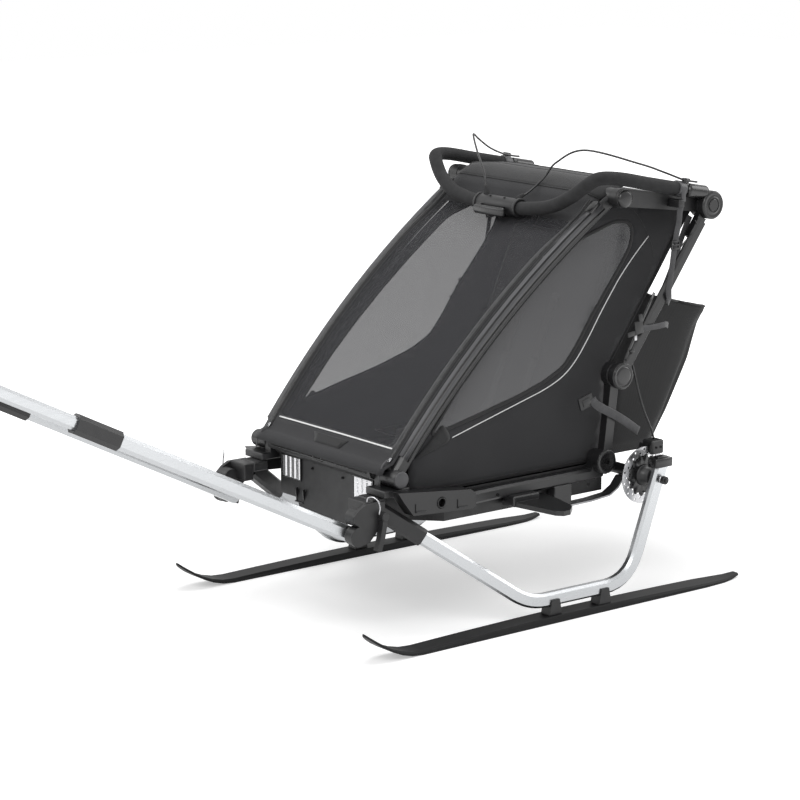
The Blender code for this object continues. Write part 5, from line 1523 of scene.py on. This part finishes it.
# %% Brake housing details
HOUSING_AXIS = (0.124, 0.9365)
HOUSING_RING = ((0.07, 0.0215), (0.07, 0.0232), (0.0712, 0.0238), (0.0758, 0.0238), (0.077, 0.0228),
                (0.077, 0.0168), (0.07, 0.0168))
for side_name, side in SIDES:
    ring = turned_ring(HOUSING_RING, HOUSING_AXIS, side, 36)
    new_piece(f"housing_ring_{side_name}", ring, moulded_nylon, "handlebar")
    fitting(f"housing_slot_{side_name}", block((side * 0.025, 0.112, 0.9568), (side * 0.0285, 0.118, 0.9592)),
            smooth_abs, "handlebar", 0.0005)
boots = (((0.062, 0.13, 0.951), (0.062, 0.131, 0.957), (0.0628, 0.135, 0.962), (0.064, 0.145, 0.9665)),
         ((-0.055, 0.127, 0.95), (-0.055, 0.128, 0.957), (-0.058, 0.129, 0.966), (-0.062, 0.1305, 0.977)))
for (side_name, side), points in zip(SIDES, boots):
    new_piece(f"cable_boot_{side_name}", tapered(points, (0.0095, 0.0088, 0.0058, 0.0042)), grip_foam,
              "handlebar")
HOUSING_SHELL = ((-0.07, 0.0), (-0.07, 0.021), (-0.069, 0.0215), (0.069, 0.0215), (0.07, 0.021), (0.07, 0.0))
housing = new_piece(
    "housing_shell", turned(HOUSING_SHELL, HOUSING_AXIS, 1, 40), moulded_nylon, "handlebar")
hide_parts("brake_housing")
lever = fitting("brake_lever_blade", block((-0.056, 0.084, 0.914), (0.056, 0.0965, 0.937), 0.12), smooth_abs,
                "brake_lever", 0.005)
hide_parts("brake_lever")
screws("housing_screws", [(0.042, 0.1005, 0.935), (-0.042, 0.1005, 0.935)], (0, -1, 0.05), "handlebar",
       Radius=0.003)
print("handlebar:", round(path_length(bar_line), 3), "m of tube from hub to hub")

# %% [markdown]
# ## Straps at the roof and the legs
# On each side a strap hangs from the roof rail, runs through a ladder buckle and holds the bag. It
# crosses the hub hinge, so it rides on no body. Loops of cord and shorter straps hang behind it, a clip
# on the leg holds the bag's side strap, and a belt with its buckle lies low on each side wall.

# %% Roof straps
HANG = ((0.345, 0.402, 0.952), (0.345, 0.398, 0.93), (0.345, 0.396, 0.909), (0.345, 0.39, 0.885),
        (0.345, 0.3835, 0.856))
HOLD = ((0.345, 0.3835, 0.856), (0.3455, 0.378, 0.82), (0.3455, 0.372, 0.78), (0.344, 0.368, 0.745),
        (0.338, 0.376, 0.72), (0.315, 0.398, 0.708), (0.275, 0.424, 0.704), (0.238, 0.442, 0.702))
HIND = ((0.3, 0.476, 0.912), (0.301, 0.46, 0.885), (0.301, 0.44, 0.842), (0.301, 0.418, 0.79),
        (0.298, 0.395, 0.74), (0.28, 0.4, 0.712), (0.245, 0.425, 0.701))
for side_name, side in SIDES:
    fitting(f"strap_hanger_{side_name}", block((side * 0.309, 0.393, 0.943), (side * 0.3475, 0.411, 0.962)),
            moulded_nylon, "roof", 0.002)
    for name, points in (("roof_strap", HANG), ("bag_strap", HOLD), ("hind_strap", HIND)):
        strap = ribbon(f"{name}_{side_name}", flip_x(points, side), 0.016, 0.0016, (side, -0.2, 0.05),
                       webbing, None)
        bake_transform(strap)
    ladder = merged(
        *[block((side * 0.344, 0.3835 - 0.012, z), (side * 0.349, 0.3835 + 0.012, z + 0.0035))
          for z in (0.844, 0.853, 0.862)],
        *[block((side * 0.344, y, 0.844), (side * 0.349, y + 0.003, 0.8655)) for y in (0.3705, 0.3935)])
    fitting(f"ladder_buckle_{side_name}", ladder, smooth_abs, "rear", 0.0008)
    loop = flip_x(((0.33, 0.464, 0.906), (0.331, 0.471, 0.891), (0.331, 0.461, 0.88), (0.331, 0.435, 0.86),
                   (0.34, 0.409, 0.847)), side)
    new_piece(f"strap_cord_{side_name}", cord_shape(loop, 0.0016), cable_jacket, "rear")

# %% Clips and straps on the legs
LEG_FACE = 0.3352
for side_name, side in SIDES:
    x = side * LEG_FACE

    def at(y, z, out=0.0):
        return Vector((x + side * out, y, z))

    clip = merged(block(at(0.264, 0.648), at(0.29, 0.68, 0.0048), 0.15),
                  block(at(0.242, 0.644, 0.0005), at(0.268, 0.656, 0.0036), 0.15),
                  block(at(0.274, 0.679, 0.001), at(0.286, 0.696, 0.007), 0.15))
    fitting(f"bag_clip_{side_name}", clip, moulded_nylon, "rear", 0.0012)
    fitting(f"bag_clip_tag_{side_name}", block(at(0.264, 0.633, 0.0008), at(0.272, 0.645, 0.003)),
            nickel_screw, "rear", 0.0004)
    fitting(f"bag_clip_bar_{side_name}", block(at(0.25, 0.606, 0.0006), at(0.264, 0.611, 0.004)), smooth_abs,
            "rear", 0.0006)
    low = flip_x(((0.338, 0.276, 0.662), (0.3385, 0.296, 0.66), (0.3385, 0.34, 0.66), (0.332, 0.372, 0.66),
                  (0.3, 0.41, 0.648), (0.27, 0.436, 0.642), (0.242, 0.456, 0.639)), side)
    ribbon(f"bag_side_strap_{side_name}", low, 0.014, 0.0016, (side, -0.15, 0.1), webbing, "rear")
    new_piece(
        f"leg_strip_{side_name}",
        swept([Vector((side * 0.3356, 0.206 + 0.092 * i / 6 + 0.03, 0.59 + 0.153 * i / 6)) for i in range(7)],
              flat_section(0.009, 0.002), (side, 0, 0)), smooth_abs, "rear")
    belt = flip_x(((0.313, 0.154, 0.501), (0.314, 0.167, 0.484), (0.316, 0.243, 0.442),
                   (0.312, 0.307, 0.401)), side)
    crouching(ribbon(f"leg_belt_{side_name}", belt, 0.022, 0.0018, (side, 0.0, 0.1), webbing, "base"))
    buckle = merged(block((side * 0.307, 0.113, 0.48), (side * 0.313, 0.156, 0.511), 0.3),
                    block((side * 0.312, 0.122, 0.487), (side * 0.315, 0.147, 0.504), 0.3))
    crouching(fitting(f"leg_belt_buckle_{side_name}", buckle, moulded_nylon, "base", 0.0012))
print("straps and clips hung")

# %% [markdown]
# ## Bumper
# The bumper carries two moulded reflectors: a frame round a row of upright prisms. A hook notch sits
# in the middle of its lip, and a slot lower down.

# %% Reflectors, notch and slot
FACE_Y = -0.4048
PRISM_PITCH = 0.0182
PRISM_LOW, PRISM_HIGH = 0.305, 0.356
PRISM_SLOPE = 0.004
BAR = 0.003


def prism_plate(x_low, x_high, z_low, z_high, y):
    """A plate whose front is a row of upright ridges."""
    count = max(2, round((x_high - x_low) / PRISM_PITCH))
    section = [(x_low, y + 0.004)]
    for index in range(count):
        left = x_low + (x_high - x_low) * index / count
        right = x_low + (x_high - x_low) * (index + 1) / count
        section += [(left + 0.0012, y), (left + PRISM_SLOPE, y - 0.0026), (right - PRISM_SLOPE, y - 0.0026),
                    (right - 0.0012, y)]
    section.append((x_high, y + 0.004))
    shape = bmesh.new()
    rings = [[shape.verts.new((x, at, z)) for x, at in section] for z in (z_low, z_high)]
    count = len(section)
    for index in range(count):
        k = (index + 1) % count
        shape.faces.new((rings[0][index], rings[0][k], rings[1][k], rings[1][index]))
    shape.faces.new(rings[0][::-1])
    shape.faces.new(rings[1])
    bmesh.ops.recalc_face_normals(shape, faces=shape.faces)
    return shape


for side_name, side in SIDES:
    low, high = sorted((side * 0.106, side * 0.179))
    bars = ((low - BAR, PRISM_LOW - BAR, high + BAR, PRISM_LOW),
            (low - BAR, PRISM_HIGH, high + BAR, PRISM_HIGH + BAR), (low - BAR, PRISM_LOW, low, PRISM_HIGH),
            (high, PRISM_LOW, high + BAR, PRISM_HIGH))
    frame_bars = merged(*[block((a, FACE_Y - 0.0032, b), (c, FACE_Y + 0.002, d)) for a, b, c, d in bars])
    fitting(f"reflector_frame_{side_name}", frame_bars, smooth_abs, "base", 0.0006)
    new_piece(f"reflector_prisms_{side_name}", prism_plate(low, high, PRISM_LOW, PRISM_HIGH, FACE_Y - 0.0006),
              prism, "base", smooth=False)
fitting(
    "bumper_hook",
    merged(block((-0.018, -0.435, 0.379), (-0.014, -0.428, 0.3866)),
           block((0.014, -0.435, 0.379), (0.018, -0.428, 0.3866)),
           block((-0.018, -0.435, 0.3762), (0.018, -0.429, 0.3792))), smooth_abs, "base", 0.0006)
fitting("bumper_slot",
        merged(block((-0.113, -0.4185, 0.253), (-0.081, -0.4105, 0.256), 0.1),
               block((-0.113, -0.416, 0.256), (-0.11, -0.4085, 0.287), 0.1),
               block((-0.084, -0.416, 0.256), (-0.081, -0.4085, 0.287), 0.1)), smooth_abs, "base",
        0.0005)
lip_line = [Vector((x, -0.4352, 0.3815)) for x in (-0.19, -0.1, 0.0, 0.1, 0.19)]
new_piece("bumper_lip_line", swept(lip_line, round_section(0.0012, 8)), smooth_abs, "base")
screws("bumper_screws", [(x, FACE_Y - 0.0004, 0.342) for x in (-0.06, 0.06)], (0, -1, 0), "base",
       Radius=0.0032)
print("bumper fitted")

# %% [markdown]
# ## Clamps, rails and axle ends
# Small working parts: the wire bail of each pole clamp, the marks, ring and screws on the side rails,
# the nut on each axle end, and the cap over each ski arm's rear end.

# %% Clamp bails, rail marks and axle ends
BAIL = ((0.286, -0.505, 0.344), (0.288, -0.503, 0.354), (0.298, -0.496, 0.356), (0.308, -0.49, 0.348),
        (0.313, -0.488, 0.334), (0.312, -0.49, 0.318))
RAIL_FACE = 0.3062
NUT = ((0.4122, 0.004), (0.4122, 0.0098), (0.415, 0.0098), (0.416, 0.0088), (0.416, 0.004))


def frame_mark(x, y_low, y_high, z_low, z_high, slant):
    """A raised L on a side face, like the rib round a moulding's pocket."""
    return merged(block((x, y_low, z_low), (x + math.copysign(0.0012, x), y_high, z_low + 0.003), slant),
                  block((x, y_low, z_low), (x + math.copysign(0.0012, x), y_low + 0.003, z_high), 0.0))


for side_name, side in SIDES:
    bail = cord_shape(flip_x(BAIL, side), 0.0017, 8, 0.004)
    new_piece(f"clamp_bail_{side_name}", bail, nickel_screw, "base")
    marks = merged(frame_mark(side * RAIL_FACE, -0.38, -0.348, 0.302, 0.323, -0.08),
                   frame_mark(side * RAIL_FACE, -0.256, -0.224, 0.294, 0.315, -0.08))
    fitting(f"rail_marks_{side_name}", marks, moulded_nylon, "base", 0.0004)
    dimple = ((RAIL_FACE - 0.0006, 0.0125), (RAIL_FACE + 0.001, 0.0125), (RAIL_FACE + 0.0014, 0.0115),
              (RAIL_FACE + 0.0014, 0.0105), (RAIL_FACE - 0.0006, 0.01))
    ring = turned_ring(dimple, (-0.303, 0.315), side)
    new_piece(f"rail_ring_{side_name}", ring, moulded_nylon, "base")
    screws(f"rail_screws_{side_name}",
           [(side * (RAIL_FACE + 0.0006), -0.135, 0.308), (side * (RAIL_FACE + 0.0006), 0.15, 0.29)],
           (side, 0, 0), "base", Radius=0.0042, Height=0.002)
    nut = turned_ring(NUT, AXLE, side, 6)
    fitting(f"axle_nut_{side_name}", nut, nickel_screw, "base", 0.0004)
    cap = merged(block((side * 0.3815, 0.273, 0.329), (side * 0.4125, 0.328, 0.352)),
                 block((side * 0.387, 0.285, 0.35), (side * 0.407, 0.318, 0.356)))
    fitting(f"arm_top_cap_{side_name}", cap, smooth_abs, "base", 0.003)
print("clamps, rails and axle ends fitted")

# %% [markdown]
# ## Brake rotor
# The rotor is a ground steel ring with two rows of drilled holes, held by a black toothed carrier. A
# Geometry Nodes tree makes the ring: a disc from which the middle and the holes, set round two
# circles, are cut.

# %% Rotor tree
def make_rotor_tree():
    tree, sizes, output = start_tree(
        "drilled_ring",
        {"Outer": 0.07, "Inner": 0.049, "Thickness": 0.0025, "Holes": 14, "Hole Radius": 0.003,
         "Outer Row": 0.0635, "Inner Row": 0.0555, "Row Turn": 0.2244})
    disc = add_node(tree, "GeometryNodeMeshCylinder",
                    {"Vertices": 96, "Radius": sizes["Outer"], "Depth": sizes["Thickness"]})
    deep = add_node(tree, "ShaderNodeMath", {0: sizes["Thickness"], 1: 3.0}, operation="MULTIPLY")
    middle = add_node(tree, "GeometryNodeMeshCylinder",
                      {"Vertices": 72, "Radius": sizes["Inner"], "Depth": deep.outputs[0]})
    hole = add_node(tree, "GeometryNodeMeshCylinder",
                    {"Vertices": 10, "Radius": sizes["Hole Radius"], "Depth": deep.outputs[0]})
    rows = [middle.outputs["Mesh"]]
    for row, turn in (("Outer Row", None), ("Inner Row", "Row Turn")):
        circle = add_node(tree, "GeometryNodeMeshCircle", {"Vertices": sizes["Holes"], "Radius": sizes[row]})
        around = circle.outputs[0]
        if turn:
            angle = add_node(tree, "ShaderNodeCombineXYZ", {"Z": sizes[turn]})
            around = add_node(
                tree, "GeometryNodeTransform", {"Geometry": around, "Rotation": angle.outputs[0]}).outputs[0]
        copies = add_node(
            tree, "GeometryNodeInstanceOnPoints", {"Points": around, "Instance": hole.outputs["Mesh"]})
        rows.append(
            add_node(tree, "GeometryNodeRealizeInstances", {"Geometry": copies.outputs[0]}).outputs[0])
    drilled = disc.outputs["Mesh"]
    for cutter in rows:
        drilled = add_node(tree, "GeometryNodeMeshBoolean", {"Mesh 1": drilled, "Mesh 2": cutter},
                           operation="DIFFERENCE", solver="EXACT").outputs[0]
    end_tree(tree, sizes, output, drilled)
    return tree


# %% Rotor pieces
ROTOR_X, ROTOR_THICK = 0.348, 0.0025
TEETH = 14
TOOTH = (0.05, 0.0525, 0.0525, 0.05, 0.0462, 0.0445, 0.0445, 0.0462)
CARRIER_BORE, ARMS, ARM_SLANT, BOLT_CIRCLE = 0.024, 6, 0.5, 0.0415
rotor_tree = make_rotor_tree()
ROTOR_HUB = (
    (0.3184, 0.008), (0.3184, 0.0165), (0.32, 0.017), (0.344, 0.017), (0.345, 0.025), (0.3475, 0.0255),
    (0.354, 0.0255), (0.355, 0.024), (0.356, 0.0172), (0.376, 0.0168), (0.3778, 0.0152), (0.3778, 0.008))


def round_axle(radius, angle):
    return (AXLE[0] + radius * math.cos(angle), AXLE[1] + radius * math.sin(angle))


def carrier_shape(side):
    """The black carrier: a ring of teeth that reach out to the rotor, on short slanted arms."""
    count = TEETH * len(TOOTH)
    outline = [round_axle(TOOTH[i % len(TOOTH)], math.tau * i / count) for i in range(count)]
    inner = [round_axle(CARRIER_BORE, math.tau * i / count) for i in range(count)]
    shape = bmesh.new()
    x_low, x_high = ROTOR_X - 0.0012, ROTOR_X + ROTOR_THICK + 0.0012
    loops = [[shape.verts.new((side * x, *p)) for p in line] for x in (x_low, x_high)
             for line in (outline, inner)]
    for index in range(count):
        k = (index + 1) % count
        for a, b in ((0, 2), (2, 3), (3, 1), (1, 0)):
            shape.faces.new((loops[a][index], loops[a][k], loops[b][k], loops[b][index]))
    bmesh.ops.recalc_face_normals(shape, faces=shape.faces)
    arms = []
    for index in range(ARMS):
        angle = math.tau * index / ARMS
        start = Vector((side * (ROTOR_X + 0.00125), *round_axle(0.016, angle)))
        end = Vector((side * (ROTOR_X + 0.00125), *round_axle(0.039, angle + ARM_SLANT)))
        arms.append(swept([start, start.lerp(end, 0.5), end], flat_section(0.01, 0.0046), (side, 0, 0)))
    return merged(shape, *arms)


for side_name, side in SIDES:
    ring = grown(rotor_tree, bpy.data.meshes.new("none"), bright_steel)
    ring.transform(Matrix.Translation(
                       (side * (ROTOR_X + ROTOR_THICK / 2), *AXLE)) @ Matrix.Rotation(math.pi / 2, 4, "Y"))
    rotor = new_piece(
        f"rotor_ring_{side_name}", ring, bright_steel, f"rotor_{side_name}", smooth=False)
    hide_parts(f"brake_rotor_{side_name}")
    fitting(f"rotor_carrier_{side_name}", carrier_shape(side), smooth_abs, f"rotor_{side_name}",
            0.0004)
    new_piece(f"rotor_hub_{side_name}", turned_ring(ROTOR_HUB, AXLE, side), moulded_nylon,
              f"rotor_{side_name}")
    bolts = [(side * (ROTOR_X + ROTOR_THICK + 0.0014),
              *round_axle(BOLT_CIRCLE, math.tau * i / ARMS + ARM_SLANT)) for i in range(ARMS)]
    screws(f"rotor_bolts_{side_name}", bolts, (side, 0, 0), f"rotor_{side_name}", "steel", Radius=0.0026,
           Height=0.0016)
    screws(f"caliper_screws_{side_name}", [(side * 0.3644, 0.318, 0.367), (side * 0.3644, 0.333, 0.367)],
           (side, 0, 0), "base", Radius=0.003)
print("rotors:", len(ring.polygons), "faces each")

# %% [markdown]
# ## Brake cables
# Four bowden cables, 5 mm thick: from the brake's housing to each hub, and from each hub down the
# leg to the caliper. The photograph shows both upper ones from end to end and most of the near lower
# one. Each is a tube along the same route as its solid, with the curve's distance as its UV map.

# %% Brake cables
CABLE_RADIUS = 0.0025
CABLE_LEFT = ((0.062, 0.131, 0.9596), (0.066, 0.16, 0.972), (0.076, 0.2, 1.005), (0.1, 0.218, 1.043),
              (0.16, 0.256, 1.075), (0.26, 0.344, 1.045), (0.31, 0.38, 1.026), (0.329, 0.425, 1.007),
              (0.333, 0.465, 0.999))
CABLE_RIGHT = ((-0.055, 0.128, 0.9584), (-0.075, 0.1353, 1.008), (-0.12, 0.15, 1.057), (-0.16, 0.172, 1.085),
               (-0.18, 0.19, 1.089), (-0.21, 0.2311, 1.071), (-0.26, 0.3093, 1.039), (-0.31, 0.395, 1.013),
               (-0.33, 0.45, 1.001), (-0.333, 0.47, 0.998))
LOWER_CABLE = ((0.3, 0.516, 0.9), (0.301, 0.5, 0.87), (0.301, 0.45, 0.815), (0.301, 0.4, 0.735),
               (0.3, 0.33, 0.63), (0.308, 0.285, 0.59), (0.333, 0.274, 0.54), (0.345, 0.288, 0.47),
               (0.345, 0.318, 0.41), (0.345, 0.327, 0.385))
for side_name, side in SIDES:
    upper = smooth_path(CABLE_LEFT if side > 0 else CABLE_RIGHT, 0.004)
    lower = smooth_path(flip_x(LOWER_CABLE, side), 0.004)
    for name, path, body, node in (
        ("upper_cable", upper, "handlebar", "brake_cable"), ("lower_cable", lower, "base", "caliper_cable")):
        cable = new_piece(
            f"{name}_{side_name}", swept(path, round_section(CABLE_RADIUS, 12)), cable_jacket, body)
        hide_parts(f"{node}_{side_name}")
        if body == "base":
            crouching(cable)
        print(cable.name, round(path_length(path), 3), "m")

# %% [markdown]
# ## Harness
# Two shoulder straps lie on the seat's back and meet in a buckle. They are flat webbing, laid along
# the same line as their solids, with soft sleeves over the shoulders and two rows of stitches.

# %% Harness
def seat_back_point(share, forward=0.0):
    y, z = between(SEAT_FOOT, SEAT_HEAD, share)
    return (y - forward, z)


BACK_LEAN = (0.0, -0.92, 0.4)
harness_parts = []
for side_name, side in SIDES:
    x = side * 0.055
    route = [(x * 0.45, 0.05, 0.3975), (x * 0.9, 0.115, 0.415)]
    route += [(x, *seat_back_point(share, 0.0162)) for share in (0.22, 0.34, 0.45, 0.6, 0.72)]
    strap = ribbon(f"harness_strap_{side_name}", route, 0.027, 0.003, (0.0, -0.75, 0.66), webbing, "base")
    sleeve_route = [(x, *seat_back_point(share, 0.0165)) for share in (0.42, 0.52, 0.62, 0.7)]
    pad = ribbon(f"harness_sleeve_{side_name}", sleeve_route, 0.03, 0.0075, BACK_LEAN, seat_cloth, "base")
    harness_parts += [strap, pad]
    rows = [[Vector((x + off, *seat_back_point(share, 0.0205))) for share in (0.43, 0.5, 0.56, 0.62, 0.69)]
            for off in (-0.012, 0.012)]
    harness_parts.append(stitches(f"harness_stitches_{side_name}", rows, "base", BACK_LEAN))
buckle_shape = merged(
    block((-0.034, 0.022, 0.3915), (0.034, 0.07, 0.404)), block((-0.013, 0.03, 0.403), (0.013, 0.056, 0.406)))
buckle = fitting("harness_buckle", buckle_shape, moulded_nylon, "base", 0.003)
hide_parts("harness")
for part in harness_parts:
    crouching(part)
print("harness:", len(harness_parts) + 1, "pieces")

# %% [markdown]
# ## Seat seams and welts
# Piping runs round the cushion's upper edge, and the back has two sewn channels.

# %% Seat seams
welt = [Vector((x, y, 0.374))
        for x, y in rounded_outline(
            [(-0.194, -0.122), (0.194, -0.122), (0.194, 0.096), (-0.194, 0.096)], 0.03, 6)]
new_piece("seat_welt", swept(welt + welt[:1], round_section(0.0022, 8), UPWARDS), trim_tape, "base")
for share in (0.3, 0.62):
    line = [Vector((-0.18 + 0.36 * i / 18, *seat_back_point(share, 0.0102))) for i in range(19)]
    crouching(stitches(f"seat_back_channel_{round(share * 100)}", [line], "base", BACK_LEAN))

# %% [markdown]
# ## What the cloth was cut from
# No sheet of cloth is declared with its size here. A flat width and length for each sheet were worked
# out and rounded, and two of them are not real cutting sizes. Two of the sizes are not real cutting
# sizes. The front cloth is cut from about 0.544 x 0.871 m, but it is a border round a large opening and
# fills only a small share of that rectangle. Fills too small a share of that rectangle to be declared
# so. The window's size is of an older outline.


for side_name, side in SIDES:
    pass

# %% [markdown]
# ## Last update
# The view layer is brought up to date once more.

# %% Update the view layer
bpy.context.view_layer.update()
